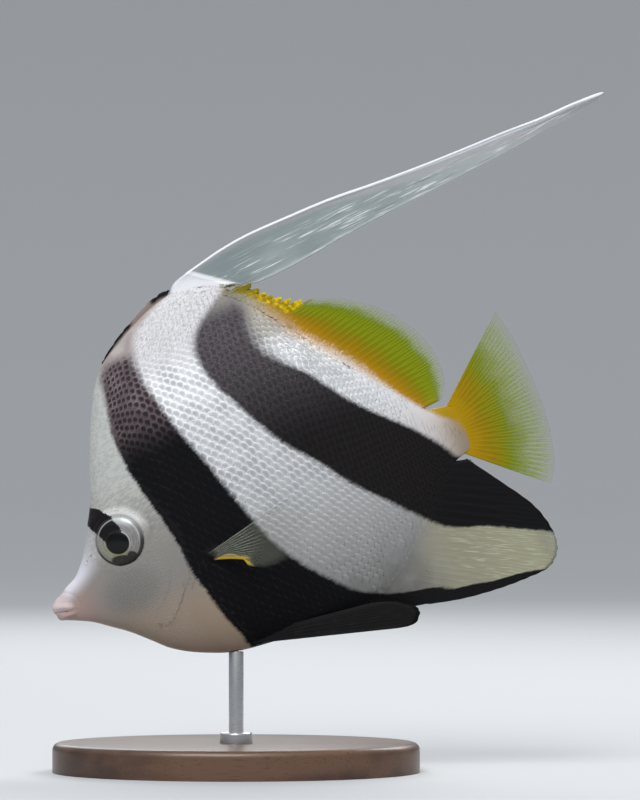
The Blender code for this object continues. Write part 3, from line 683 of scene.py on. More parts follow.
# %% The skin's finish
def pale_ground(marks):
    """White above and darker, warmer and greyer towards the belly, grey on the cheek and pink on the
    snout. Much of the darkening downwards and on the cheek is painted shade, and the fold above the eye
    and the snout's top carry painted highlights.
    """
    finish, x, z = marks.finish, marks.x, marks.z
    eye_x, eye_z = EYE_CENTRE
    dashes = finish.noise(finish.along(marks.point, CLIMB + 0.5, 2.6), 0.42, detail=2)
    pearl = finish.blend(dashes.ease(0.42, 0.62), (0.68, 0.67, 0.69), (0.50, 0.49, 0.51))
    mottle = finish.noise(marks.point, 6.0, detail=4)
    face = (edge_of(finish, z, BAND_ONE_FRONT) - x).ease(-4.0, -1.0)
    cheek = ((x - 27.0) / 13.0) ** 2 + ((z + 6.0) / 9.5) ** 2
    # The face: beige chin, grey cheek, paler brow. The cheek's dark middle is partly painted shade, and
    # the paler brow is partly painted light from above.
    face_tone = finish.coats(
        (0.33, 0.245, 0.175),
        (z.ease(-22, -4), (0.215, 0.200, 0.180)),
        (z.ease(10, 34), (0.42, 0.43, 0.405)),
        (cheek.ease(1.0, 0.0) * 0.60, (0.125, 0.118, 0.108)))
    level = (z - eye_z) * cosine + (x - eye_x) * sine
    around_eye = ((x - eye_x) ** 2 + (z - eye_z) ** 2).ease(150, 90)
    wavy = finish.noise(finish.along(marks.point, 0.2, 3.0), 0.9, detail=3)
    brow = face * z.ease(0, 20)
    lips = finish.blend(z.ease(-2.8, -3.8), (0.60, 0.485, 0.475), (0.42, 0.30, 0.28))
    return finish.coats(
        (0.140, 0.135, 0.125),  # the belly: a greyer tone, darkened further by painted shade
        # Lighter upwards: partly the fish's own tone, partly painted light from above
        (z.ease(-50, 42), (0.76, 0.77, 0.79)),
        (z.ease(34, 48), (0.95, 0.96, 0.98)),
        (z.ease(52, 66), pearl),  # the nape
        (mottle.ease(0.40, 0.75) * 0.16, (0.50, 0.49, 0.49)),
        (x.ease(118, 140) * z.ease(20, 4) * 0.5, (0.58, 0.50, 0.485)),  # the tail root, ever duller
        (x.ease(138, 148) * z.ease(12, 2) * 0.75, (0.36, 0.27, 0.19)),
        (x.ease(144, 151) * z.ease(8, -2) * 0.6, (0.17, 0.12, 0.06)),
        (x.ease(94, 100) * z.ease(49, 57) * 0.9, (0.40, 0.37, 0.30)),  # below the dorsal spines
        (face * 0.9, face_tone),
        (brow * wavy.ease(0.42, 0.62) * 0.30, (0.60, 0.61, 0.58)),
        (brow * wavy.ease(0.52, 0.38) * 0.22, (0.27, 0.275, 0.26)),
        # Painted highlight on the glossy skin fold above the eye
        (around_eye * level.ease(3.0, 8.5) * 0.85, (0.82, 0.83, 0.80)),
        (x.ease(26, 10) * (z - x * 0.55).ease(-7.5, -0.5) * 0.9, (0.76, 0.75, 0.83)),  # the snout's top, a painted bluish highlight over its pale skin
        (x.ease(21, 5) * (z - x * 0.40).ease(0.5, -6.0) * 0.8, (0.40, 0.265, 0.235)),
        (x.ease(7.5, 3.5) * 0.85, lips))


skin_finish = Finish("pearly_skin", Roughness=0.45, Coat_Weight=0.05, Coat_Roughness=0.25,
                     Specular_IOR_Level=0.13, Subsurface_Weight=0.06, Subsurface_Scale=0.002)
marks = Markings(skin_finish)
grain = skin_finish.cells(marks.point, 0.75)
ground = pale_ground(marks)
ground = skin_finish.blend(grain.ease(0.22, 0.02) * 0.18, ground, (0.30, 0.28, 0.27))
height = grain.ease(0.0, 0.25) * 0.4 + skin_finish.noise(marks.point, 0.5) * 0.3
skin_finish.wear(Base_Color=marks.body_colour(ground), Normal=skin_finish.bump(height, 0.00008, 0.7))
dress(skin, skin_finish.material, "skin", "head", "torso", "tail_peduncle")

# %% [markdown]
# ## The fins
#
# A fin is a fan of bony rays with thin skin between them. It could be a flat card with a
# picture, but the rays catch light along their length and notch the free edge, so the sheet
# is real: a grid folded over the fin's edge, closed all round, with a ridge along each ray
# that forks towards the edge. Each point keeps how close it is to a ray, how far out it is
# and how far along the fin. The finish reads these to streak the colour, and to let light
# through the skin between the rays.

# %% Key rays of each fin, as (root X, root Z, tip X, tip Z)
PENNANT = [(76.5, 78.6, 93.5, 74.8), (79.4, 82.8, 98.2, 75.2), (84.0, 84.6, 102.0, 73.8),
           (92.0, 86.4, 106.0, 72.4), (100.0, 87.9, 111.0, 72.3), (110.0, 88.9, 118.0, 72.6),
           (124.0, 89.0, 128.0, 73.6), (140.0, 88.8, 140.0, 75.0), (156.0, 87.6, 156.0, 76.4),
           (172.0, 86.7, 172.0, 77.3), (188.0, 86.2, 188.0, 78.3), (203.0, 85.9, 202.0, 79.3),
           (216.0, 85.2, 214.5, 80.8), (228.0, 85.3, 227.0, 81.8), (239.0, 84.7, 238.8, 83.8)]
DORSAL = [(93.0, 73.6, 103.6, 74.0), (96.5, 70.0, 107.0, 69.0), (101.0, 65.6, 111.0, 65.2),
          (105.0, 60.4, 117.5, 61.4), (108.0, 55.6, 125.0, 58.4), (112.0, 49.6, 133.0, 54.6),
          (116.5, 42.8, 140.5, 48.4), (121.0, 36.0, 146.4, 41.0), (126.0, 28.8, 150.4, 33.0),
          (130.5, 22.0, 152.0, 24.6), (135.0, 15.8, 151.0, 17.0), (139.0, 11.0, 147.8, 11.4)]
CAUDAL = [(146.5, 7.4, 176.0, 31.5), (147.0, 5.8, 177.6, 25.0), (147.0, 3.8, 178.4, 17.0),
          (147.0, 1.8, 178.5, 8.0), (147.0, 0.0, 178.5, 0.5), (147.0, -1.8, 178.0, -7.0),
          (147.0, -3.8, 176.8, -14.5), (147.0, -5.8, 174.4, -22.6), (146.5, -7.6, 170.2, -29.6)]
ANAL = [(97.0, -40.4, 104.0, -46.6), (101.0, -39.6, 116.0, -50.2), (105.0, -38.0, 128.0, -53.2),
        (109.0, -35.6, 140.0, -54.8), (113.0, -32.6, 150.0, -55.3), (117.0, -29.2, 158.5, -54.8),
        (121.5, -25.2, 163.4, -50.4), (126.0, -21.0, 164.4, -43.4), (131.0, -16.2, 161.8, -33.4),
        (136.0, -11.4, 154.6, -21.4), (140.0, -8.4, 147.6, -10.4)]
FRONT_SPINES = [(46.0, 64.6, 47.5, 68.8), (50.0, 68.0, 52.5, 72.3), (54.5, 70.4, 58.0, 75.5),
                (58.5, 72.4, 61.8, 77.2), (62.0, 74.0, 64.8, 78.7), (66.5, 75.8, 70.5, 81.2),
                (71.0, 77.0, 75.6, 82.3), (73.4, 77.6, 78.2, 81.9)]
PECTORAL = [(54.3, -4.6, 13.4, 87.0, 2.2, 28.0), (54.5, -5.1, 13.4, 90.6, -2.8, 29.6),
            (54.7, -5.6, 13.4, 90.0, -9.6, 29.4), (54.9, -6.1, 13.4, 84.4, -15.0, 27.0),
            (55.1, -6.6, 13.4, 76.4, -16.8, 23.8), (55.3, -7.1, 13.4, 70.2, -15.8, 21.0),
            (55.5, -7.6, 13.4, 66.0, -13.3, 19.4)]
PECTORAL_ARCH = (1.9, 2.7)  # how far the lowest ray bows back and up
PELVIC = [(53.5, -37.6, 3.6, 103.5, -53.0, 9.5), (54.5, -37.2, 3.6, 109.0, -53.8, 10.0),
          (55.5, -36.8, 3.6, 112.2, -51.2, 10.2), (56.5, -36.4, 3.6, 111.0, -48.0, 10.0),
          (57.5, -36.0, 3.6, 105.5, -44.0, 9.2), (59.0, -35.6, 3.6, 98.5, -41.6, 8.0)]


# %% A fin's sheet
FILLET = 3.0  # how far inside the body's outline a fin's flesh begins
FLESH_END = 143.0  # the last station whose flank the fins' flesh follows
FIN_MARKS = ("ray", "out", "share")  # nearness to a ray, distance out, and share along the fin


def fleshy_root(station, height):
    """Half the thickness of a fin that leaves the flank without a crease."""
    middle = widest_height(station)
    upper = height > middle
    edge, sharpness = edge_at(station, upper)
    start = width_at(station, np.clip(1 - FILLET / np.abs(edge - middle), 0, 1), sharpness)
    beyond = np.where(upper, height - edge, edge - height)
    return start * np.exp(-np.maximum(beyond + FILLET, 0) * sharpness / (2 * FILLET))


def edge_on(value, width):
    """How thick a sheet is near its edges, from 0 on the edge to 1 inside."""
    near = np.clip(np.minimum(value, 1 - value) / width, 0, 1)
    return np.sqrt(1 - (1 - near) ** 2)


def ray_lines(share, out, rays, fork):
    """0 on the skin between two rays and 1 on a ray, which forks twice on its way out."""
    phase = np.mod(share * rays, 1.0) - 0.5
    parting = 0.24 * smooth(out, fork, fork + 0.32)
    twig = 0.115 * smooth(out, fork + 0.28, 1.0)
    width = 0.13 - 0.07 * smooth(out, fork, 1.0)
    strong = [hump(phase - a * parting - b * twig, width) for a in (-1, 1) for b in (-1, 1)]
    return np.maximum.reduce(strong)


def fin_sheet(name, keys, rays, rows, ridge, root=0.7, edge=0.26, per_ray=8, notch=0.0, spiny=0.0,
              soft_rays=0, fork=0.4, spine=0.0, flesh=False, sway=None, arch=(0.0, 0.0), hand=1):
    """A closed fin through its key rays. Spiny is the share of spines, which stand proud of notched
    skin, flesh is whether its root is fleshy, and arch is the bow of its last ray."""
    keys = np.array(keys)
    if keys.shape[1] == 4:  # a fin on the fish's middle line
        keys = np.insert(keys, [2, 4], 0.0, axis=1)
    soft_rays = soft_rays or rays

    def shape(s, t):
        out = 1 - np.abs(2 * t - 1)
        is_spiny = np.clip((spiny - s) * rays / 1.5, 0, 1)
        line = np.where(is_spiny > 0.5, ray_lines(s, out, rays, 3.0), ray_lines(s, out, soft_rays, fork))
        behind = np.mod(s * rays - 0.5, 1.0)
        flag = 1 - 0.8 * behind ** 1.5 - 0.2 * smooth(behind, 0.55, 0.8)
        flag = np.where(behind > 0.86, flag + (1 - flag) * smooth(behind, 0.86, 1.0), flag)
        ragged = 0.75 + 0.25 * (1 + np.sin(37.0 * np.floor(s * rays - 0.5)))
        tooth = np.abs(np.sin(math.pi * s * soft_rays)) ** 1.4
        reach = 1 - (1 - flag) * notch * is_spiny * ragged - (1 - tooth) * 0.006 * (1 - is_spiny)

        def middle(share, far):
            key = between(keys, np.clip(share, 0, 1))
            base, tip = key[:, [0, 2, 1]], key[:, [3, 5, 4]]
            spot = base + (tip - base) * (far * reach)[:, None]
            if sway:
                spot[:, 1] += sway(share, far)
            bow = np.clip(share, 0, 1) ** 3 * 4 * far * (1 - far)
            spot[:, [0, 2]] += bow[:, None] * np.array(arch)
            return spot * np.array([1.0, hand, 1.0])

        step = 0.01
        along = middle(s + step, out) - middle(s - step, out)
        facing = np.cross(along, middle(s, out + step) - middle(s, out - step))
        facing /= np.maximum(np.linalg.norm(facing, axis=1, keepdims=True), 1e-9)
        spots = middle(s, out)
        half = (root + (edge - root) * np.minimum(1, 1.6 * out) ** 0.7) * 0.55
        half = half + spine * hump(out - 0.035, 0.04)
        half = half + ridge * line * smooth(out, 0.02, 0.4) * (1 - 0.35 * out)
        if flesh:
            half = np.maximum(half, fleshy_root(np.clip(spots[:, 0], 0, FLESH_END), spots[:, 2]))
        half = half * edge_on(s, 0.6 / rays) * edge_on(out, 0.05) * np.where(t < 0.5, 1.0, -1.0)
        return spots + facing * half[:, None], (line, out, s)

    return to_object(shaped_grid(rays * per_ray, rows * 2, shape, FIN_MARKS), name)


def wave(share, out):
    return 0.55 * np.sin(2 * math.pi * (share * 1.6 + 0.1)) * out ** 2


def pennant_sway(share, out):
    return 2.4 * np.clip(share * 8, 0, 1) * out + 2.2 * np.sin(2 * math.pi * share) * share


# %% What every fin's finish starts from
def fin_finish(name, roughness=0.40):
    """A finish with the fin's own marks."""
    finish = Finish(name, Roughness=roughness, Coat_Weight=0.02, Coat_Roughness=0.25,
                    Specular_IOR_Level=0.10)
    return finish, *(finish.split(finish.attribute(mark))[0] for mark in FIN_MARKS)


def membrane_bump(finish, point, ray):
    """Fine creases of the skin between the rays."""
    return finish.bump(finish.noise(point, 0.35) * 0.3 + ray * 0.18, 0.0001, 0.5)


# %% The yellow fins
def yellow_finish(name, root_tone, fringe_start, fringe_end, spiny_end=0.0):
    """Golden at the root, olive and then green further out, and a clear fringe. The green outer skin and
    fringe are partly painted tint of the water's light shining through. Spines are bright to their tips.
    """
    finish, ray, out, share = fin_finish(name)
    marks = Markings(finish)
    place = out + (finish.noise(marks.point, 7.0, detail=3) - 0.5) * 0.22
    colour = finish.coats(
        root_tone,
        (place.ease(0.10, 0.42), (0.265, 0.175, 0.001)),
        # Olive, then green outwards: the green is partly painted tint of water light through the thin skin
        (place.ease(0.30, 0.58), (0.165, 0.215, 0.001)),
        (place.ease(0.58, 0.88), (0.120, 0.215, 0.003)),
        (ray * place.ease(0.10, 0.75) * 0.35, (0.36, 0.34, 0.010)),
        ((1 - ray) * place.ease(0.0, 0.3) * 0.22, (0.13, 0.10, 0.001)))
    clear = place.ease(fringe_start, fringe_end)
    if spiny_end:
        spines = share.ease(spiny_end, spiny_end - 0.04)
        tuft = finish.coats((0.27, 0.185, 0.001),
                            (finish.noise(marks.point, 1.6).ease(0.4, 0.65), (0.62, 0.44, 0.002)),
                            (share.ease(0.085, 0.055), (0.16, 0.145, 0.004)))
        colour = finish.blend(spines * out.ease(0.25, 0.5), colour, tuft)
        clear = clear * (1 - spines)
        marks.yellow = marks.yellow + spines * out.ease(0.42, 0.60) * (1 - marks.yellow)
        colour = marks.body_colour(pale_ground(marks), yellow=colour)
    # The clear fringe's greenish tint: partly painted water light shining through
    colour = finish.blend(clear * 0.7, colour, (0.26, 0.33, 0.05))
    alpha = 1 - clear * (0.93 - ray * out.ease(1.02, 0.80) * 0.60)
    return finish.wear(Base_Color=colour, Alpha=alpha, Normal=membrane_bump(finish, marks.point, ray))


# %% The white, black and clear fins
def anal_finish():
    """White with olive towards its edge, the second band's black behind, and a black border below."""
    finish, ray, _, _ = fin_finish("anal_fin_skin")
    marks = Markings(finish, rough=1.2)
    x = marks.x
    streak = finish.noise(finish.along(marks.point, -0.47, 12.0), 0.45, detail=2)
    ink = finish.blend(ray * 0.25, BLACK, (0.014, 0.013, 0.014))
    colour = finish.coats(
        pale_ground(marks),
        (x.ease(112, 132), (0.265, 0.255, 0.185)),
        (x.ease(132, 158), (0.305, 0.300, 0.205)),
        (streak.ease(0.52, 0.68) * x.ease(122, 138) * 0.45, (0.52, 0.51, 0.42)),
        (ray * x.ease(118, 136) * 0.10, (0.42, 0.41, 0.32)),
        (marks.first, ink),
        (marks.second, ink))
    alpha = 1 - x.ease(156, 164) * (1 - marks.first) * (1 - marks.second) * 0.5
    return finish.wear(Base_Color=colour, Alpha=alpha, Normal=membrane_bump(finish, marks.point, ray))


def black_finish(name, nape=False):
    """Black skin with browner rays. On the nape it turns to brownish grey between two dark patches."""
    finish, ray, out, _ = fin_finish(name, 0.55)
    point = fish_point(finish)
    colour = finish.coats(
        BLACK,
        (ray * 0.22, (0.015, 0.0135, 0.0135)),
        (finish.noise(point, 3.0).ease(0.5, 0.8) * 0.4, (0.018, 0.016, 0.016)))
    if nape:
        x = finish.split(point)[0]
        dull = x.ease(60.5, 63.0) * x.ease(71.5, 69.5)
        dull = dull + out.ease(0.80, 0.55) * (1 - dull)
        colour = finish.blend(dull * 0.9, colour, (0.26, 0.205, 0.185))
    return finish.wear(Base_Color=colour, Normal=membrane_bump(finish, point, ray))


def pennant_finish():
    """A white sheath and leading spine, and grey-white skin with crisp folds along its length: pale
    streaks on their ridges, partly painted highlight, and painted shade between them.
    """
    finish, _, out, _ = fin_finish("pennant_skin")
    point = fish_point(finish)
    x, _, z = finish.split(point)
    fine = finish.noise(finish.along(point, 0.05, 34.0), 0.45, detail=2)
    broad = finish.noise(finish.along(point, 0.05, 9.0), 2.2, detail=1)
    wash = finish.noise(finish.along(point, 0.05, 4.0), 7.0, detail=3).ease(0.35, 0.7)
    streak = fine.ease(0.54, 0.64) * broad.ease(0.40, 0.58)
    shade = fine.ease(0.46, 0.36) * broad.ease(0.45, 0.60)
    in_spines = out / (x.ease(90, 235) ** 2 * 0.22 + 0.034)  # distance out, in widths of the spine
    spine = in_spines.ease(1.3, 0.8)
    crease = in_spines.ease(1.0, 1.4) * in_spines.ease(4.5, 2.0)
    climb = z + x * 0.78  # grows square to the sheath's slanting hem
    sheath = climb.ease(152.3, 151.6)
    hem = climb.ease(153.6, 152.2) * climb.ease(150.4, 152.0)
    colour = finish.coats(
        (0.265, 0.310, 0.315),
        (wash, (0.345, 0.390, 0.390)),
        (x.ease(118, 100) * 0.6, (0.205, 0.250, 0.260)),
        (x.ease(130, 225) * 0.65, (0.56, 0.59, 0.60)),
        (crease * 0.6, (0.47, 0.445, 0.465)),
        # Pale streaks on the folds' ridges, partly painted highlight, then painted shade in the troughs
        (streak * out.ease(0.20, 0.45) * 0.85, (0.80, 0.83, 0.84)),
        (shade * out.ease(0.25, 0.5) * x.ease(112, 130) * 0.5, (0.20, 0.215, 0.22)),
        # A pale trailing edge, lightened further as painted light over the shadow on the sheet's thin rim
        (out.ease(0.90, 0.97) * 0.6, (0.62, 0.65, 0.65)),
        (spine, (0.72, 0.74, 0.78)),
        (sheath, (0.62, 0.63, 0.66)),
        (hem * 0.8, (0.88, 0.89, 0.91)))
    alpha = (spine + sheath * (1 - spine)) * 0.08 + 0.92 - out.ease(0.975, 0.995) * 0.6
    fold = finish.bump(fine * broad + hem, 0.00022, 0.8)
    return finish.wear(Base_Color=colour, Alpha=alpha, Normal=fold)


def pectoral_finish():
    """A dark, clear veil with fine rays near its root. The lowest rays are yellow."""
    finish, ray, out, share = fin_finish("pectoral_skin", 0.5)
    x, _, z = finish.split(fish_point(finish))
    near = ray * out.ease(0.62, 0.35)
    bow = (z + 13.0) / 6.5  # up the tips of the lowest rays
    yellow = share.ease(0.52, 0.66) * x.ease(68.5, 65.8) * (out + bow.ease(0.6, 1.6)).ease(0.9, 0.4)
    yellow = yellow + share.ease(0.84, 0.90) * x.ease(68.5, 65.8) * (1 - yellow)
    leading = share.ease(0.045, 0.015)
    colour = finish.coats(
        (0.23, 0.24, 0.195),
        (near, (0.40, 0.42, 0.34)),
        (yellow, finish.blend(out.ease(0.2, 0.7), (0.55, 0.36, 0.001), (0.44, 0.32, 0.002))),
        (out.ease(0.12, 0.05) * 0.8, (0.060, 0.040, 0.035)),
        (leading * 0.6, (0.34, 0.36, 0.31)))
    alpha = 0.13 + near * 0.30 - out.ease(0.75, 1.0) * 0.09 + yellow * 0.78 + leading * 0.16
    return finish.wear(Base_Color=colour, Alpha=alpha)


# %% The fins themselves
fins = []


def add_fin(name, keys, finish, slot, **sizes):
    fins.append(dress(fin_sheet(f"{name}_skin", keys, **sizes), finish, slot, name))


add_fin("pennant", PENNANT, pennant_finish(), "fin_white", rays=15, rows=36, ridge=0.0, spine=0.35,
        per_ray=12, fork=2.0, flesh=True, sway=pennant_sway)
add_fin("dorsal_fin", DORSAL, yellow_finish("dorsal_fin_skin", GOLD, 0.70, 0.90, spiny_end=0.34),
        "fin_yellow", rays=24, rows=32, ridge=0.09, notch=0.36, spiny=0.34, soft_rays=46, per_ray=22,
        flesh=True, sway=wave)
add_fin("caudal_fin", CAUDAL, yellow_finish("caudal_fin_skin", AMBER, 0.42, 0.84), "fin_yellow",
        rays=19, rows=28, ridge=0.10, root=0.8, per_ray=22, fork=0.22, sway=wave)
add_fin("anal_fin", ANAL, anal_finish(), "fin_white", rays=24, rows=32, ridge=0.07, notch=0.10,
        spiny=0.13, per_ray=18, fork=0.45, flesh=True, sway=wave)
add_fin("dorsal_spines_front", FRONT_SPINES, black_finish("nape_spines", nape=True), "fin_black",
        rays=8, rows=8, ridge=0.2, root=0.6, edge=0.3, per_ray=14, notch=0.10, spiny=1.0)
clear, black = pectoral_finish(), black_finish("black_fin_skin")
for hand, side_name in SIDES:
    made = fin_sheet(f"pectoral_{side_name}_skin", PECTORAL, rays=18, rows=24, ridge=0.07, root=0.5,
                     edge=0.16, per_ray=14, fork=0.5, arch=PECTORAL_ARCH, hand=hand)
    dress(made, clear, "fin_clear", f"pectoral_fin_{side_name}")
    made = fin_sheet(f"pelvic_{side_name}_skin", PELVIC, rays=6, rows=24, ridge=0.06, edge=0.28,
                     per_ray=26, fork=0.22, hand=hand)
    dress(made, black, "fin_black", f"pelvic_fin_{side_name}")

# %% [markdown]
# ## The scales
#
# Each scale is a thin rounded plate whose front lies under its neighbours and whose rear edge
# stands free. A picture of scales would stay flat at the outline, so every scale is real: one
# small closed plate of a few dozen faces, copied by arrays of numbers to thousands of places.
# Rows climb towards the tail, neighbouring rows are set off by half a scale, and the scales
# shrink on the tail root, on the fins' roots and on the face.

# %% One scale
ALONG, ACROSS = 3, 5  # the faces of a scale's upper side


def scale_plate():
    """A closed scale of unit size: its points as (back, across, up), its faces, and how far back and
    across the plate each point is."""
    form = bmesh.new()
    bmesh.ops.create_grid(form, x_segments=ALONG, y_segments=ACROSS, size=0.5)
    mark = form.verts.layers.float_vector.new("mark")
    for corner in form.verts:
        a, c = max(corner.co.x + 0.5, 0) ** 0.85, corner.co.y * 2
        rear = math.sqrt(max(1 - 0.90 * abs(c) ** 2.1, 0))
        corner[mark] = (a, c, 0)
        corner.co = (-0.30 + a * (0.30 + 0.70 * rear),
                     c * (0.55 + 0.45 * math.sin(math.pi / 2 * min(a * 1.5, 1))),
                     -0.45 + 1.1 * a - 0.10 * a * a - 0.30 * c * c * (0.3 + a))
    below = bmesh.ops.extrude_face_region(form, geom=form.faces[:], use_keep_orig=True)["geom"]
    bmesh.ops.translate(form, verts=only(BMVert, below), vec=(0, 0, -0.30))
    bmesh.ops.recalc_face_normals(form, faces=form.faces)
    points = np.array([corner.co[:] for corner in form.verts])
    marks = np.array([corner[mark][:2] for corner in form.verts])
    faces = np.array([[corner.index for corner in face.verts] for face in form.faces])
    form.free()
    return points, faces, marks


plate_points, plate_faces, plate_marks = scale_plate()
print("a scale has", len(plate_faces), "faces")

# %% The flank laid flat
LIFTS = np.linspace(-0.995, 0.995, 201)
FLAT_STATIONS = np.linspace(2.0, 151.5, 300)
shape = len(FLAT_STATIONS), len(LIFTS)
flat_y, flat_z = flank(FLAT_STATIONS[:, None], np.broadcast_to(LIFTS, shape))
steps = np.hypot(np.diff(flat_y, axis=1), np.diff(flat_z, axis=1))
heights = np.concatenate([np.zeros((shape[0], 1)), np.cumsum(steps, axis=1)], axis=1)
heights -= heights[:, [shape[1] // 2]]  # 0 where the body is widest


def laid_on(x, v):
    """Points at stations and heights round the flank, their lift, and how far past its edge they lie."""
    row = np.clip(np.searchsorted(FLAT_STATIONS, x), 0, len(heights) - 1)
    lift = np.array([np.interp(each, heights[k], LIFTS) for each, k in zip(v, row)])
    beyond = np.maximum(v - heights[row, -1], heights[row, 0] - v)
    y, z = flank(np.clip(x, BODY_START, BODY_END), lift)
    z = z + np.sign(v) * np.maximum(beyond, 0)
    return np.column_stack([x, y, z]), lift, beyond


# %% Rows of scales
LENGTH, WIDTH = 1.62, 1.60  # of a scale, in steps of its lattice
SAMPLES = 1500  # points along each axis of a lattice's map


class Rows:
    """A lattice of scales. Size is how large they are along the fish, 1 where they are largest."""

    def __init__(self, spacing, row_gap, size, first, last, shrink_high=1.0):
        self.spacing, self.row_gap, self.size = spacing, row_gap, size
        self.x = np.linspace(first, last, SAMPLES)
        self.p = np.concatenate([[0], np.cumsum(np.diff(self.x) / size(self.x[1:]))])
        self.v = np.linspace(-80, 90, SAMPLES)  # heights round the flank, from well below to well above it
        shrink = 1 - (1 - shrink_high) * smooth(np.abs(self.v), 30, 66)
        self.q = np.concatenate([[0], np.cumsum(np.diff(self.v) / shrink[1:])])
        self.q -= np.interp(0, self.v, self.q)

    def flat(self, p, q):
        """Station and height round the flank of a lattice point."""
        x = np.interp(p, self.p, self.x)
        return x, np.interp(q, self.q, self.v) * self.size(x) ** 0.8

    def roots(self, seed, keep, stray=0.07):
        """Roots, the way that the scales lie, their lengths, widths and lifts, a random draw for each,
        and how far past the flank's edge they lie."""
        # The lattice reaches well beyond the fish, and what lies outside the rows is dropped below.
        lattice = np.meshgrid(np.arange(-90, 260), np.arange(-120, 120), indexing="ij")
        i, j = (each.ravel() for each in lattice)
        draw = np.random.default_rng(seed)
        along = (i + 0.5 * (j % 2) + draw.uniform(-stray, stray, i.size)) * self.spacing
        up = (j + draw.uniform(-stray, stray, i.size) * 0.7) * self.row_gap
        c, s = math.cos(CLIMB), math.sin(CLIMB)
        p, q = along * c - up * s, along * s + up * c
        inside = (p > 0) & (p < self.p[-1]) & (q > self.q[0]) & (q < self.q[-1])
        p, q = p[inside], q[inside]
        here, lift, beyond = laid_on(*self.flat(p, q))
        good = keep(here, beyond)
        p, q, here, lift, beyond = p[good], q[good], here[good], lift[good], beyond[good]
        lie = laid_on(*self.flat(p + c, q + s))[0] - laid_on(*self.flat(p - c, q - s))[0]
        rise = laid_on(*self.flat(p - s, q + c))[0] - laid_on(*self.flat(p + s, q - c))[0]
        fade = 1 - 0.25 * smooth(beyond, -6.0, 0.0) - 0.45 * smooth(beyond, 0.0, 5.0)
        length = np.clip(np.linalg.norm(lie, axis=1) / 2, 0, 1.1) * self.spacing * LENGTH * fade
        width = np.clip(np.linalg.norm(rise, axis=1) / 2, 0, 1.1) * self.row_gap * WIDTH * fade
        return here, lie, length, width, lift, draw.uniform(0, 1, len(p)), beyond


# %% Where scales grow
PAST_GILL = [(-32.0, 31.0), (-24.0, 29.0), (30.0, 41.6), (40.0, 41.0), (50.0, 42.0), (60.0, 44.0)]
gill_line = through(sorted([(z, x) for x, z in GILL_EDGE[:-1]] + PAST_GILL))
throat_line = through([(-45.0, 57.0), (-39.0, 56.2), (-25.0, 52.3), (-12.0, 49.5), (-3.0, 47.0),
                       (60.0, 20.0)])


def clear_of(points, centre, radius):
    return np.hypot(points[:, 0] - centre[0], points[:, 2] - centre[1]) > radius


def in_bands(points):
    """Whether points lie in one of the two dark bands."""
    x, _, z = points.T
    bands = (BAND_ONE_FRONT, BAND_ONE_REAR), (BAND_TWO_FRONT, BAND_TWO_REAR)
    first, second = ((x > through(front)(z)) & (x < through(rear)(z)) for front, rear in bands)
    return first | second


def on_flank(points):
    x, _, z = points.T
    behind = (x - gill_line(z) > 0.55) & (x > throat_line(z))
    return behind & clear_of(points, PECTORAL_ROOT, 2.0) & (x < 149.0)


def below_dorsal(points):
    """How much further down the fine scales start below the dorsal fin than at the other roots."""
    x, _, z = points.T
    return 1.6 * ((x > 96) & (x < 136) & (z > 18))


def on_body(points, beyond):
    return on_flank(points) & (beyond + below_dorsal(points) < -2.4)


def on_edges(points, beyond):
    """The body's edges and the roots of the fins, as far as fine scales climb them."""
    x, _, z = points.T
    upper, lower = z > 40, z < -10
    places = [(z > 54) & (x > 96), upper & (x > 95), upper, lower & (x > 103), lower, x > 131]
    last = np.select(places, [4.6, 2.4, -0.2, 9.0, -0.4, -0.4], 1.8)
    return on_flank(points) & (beyond + below_dorsal(points) > -3.2) & (beyond < last)


def on_head(points, beyond):
    x, _, z = points.T
    nose = clear_of(points, NOSTRILS[0], 1.4) & clear_of(points, NOSTRILS[1], 1.4)
    clear_eye = clear_of(points, EYE_CENTRE, EYE_OPENING + 1.7)
    throat = (x - gill_line(z) > 0.55) & (x < throat_line(z)) & (z < 0)
    ahead = x - gill_line(z) < np.where(z < 0, -1.25, -0.25)
    return (ahead | throat) & clear_eye & nose & (x > 8.5) & (beyond < -0.15)


body_size = through([(27.0, 0.55), (36.0, 0.68), (45.0, 0.86), (54.0, 1.0), (92.0, 1.0),
                     (110.0, 0.84), (126.0, 0.66), (152.0, 0.44)])
edge_size = through([(27.0, 0.80), (50.0, 1.0), (110.0, 1.0), (152.0, 0.70)])
head_size = through([(7.0, 0.42), (20.0, 0.78), (34.0, 1.0), (60.0, 1.1)])
body_scales = Rows(2.2, 3.0, body_size, 27.0, 152.0, shrink_high=0.58).roots(7, on_body)
edge_scales = Rows(1.15, 1.45, edge_size, 27.0, 165.0).roots(9, on_edges)
head_scales = Rows(0.92, 1.10, head_size, 8.0, 58.0, shrink_high=0.9).roots(11, on_head, stray=0.30)
print("scales on each flank: large", len(body_scales[0]), "and fine", len(edge_scales[0]))
print("on each side of the head", len(head_scales[0]))

# %% What the scales stand on
ground_form = bmesh.new()
for piece in (skin, *fins):
    ground_form.from_mesh(piece.data)
ground_tree = BVHTree.FromBMesh(ground_form)
ground_form.free()


def unwrap_place(x, lift, hand):
    """A root's place on the skin's own unwrap."""
    shares = np.linspace(0, 1, 2000)
    s = np.interp(x, skin_station(shares), shares)
    down = CAP + (1 - lift) / 2 * (1 - 2 * CAP)
    return np.column_stack([s, np.where(hand > 0, down / 2, 1 - down / 2)])


NEAR = 0.0032  # how close ground has to be to a root, in metres


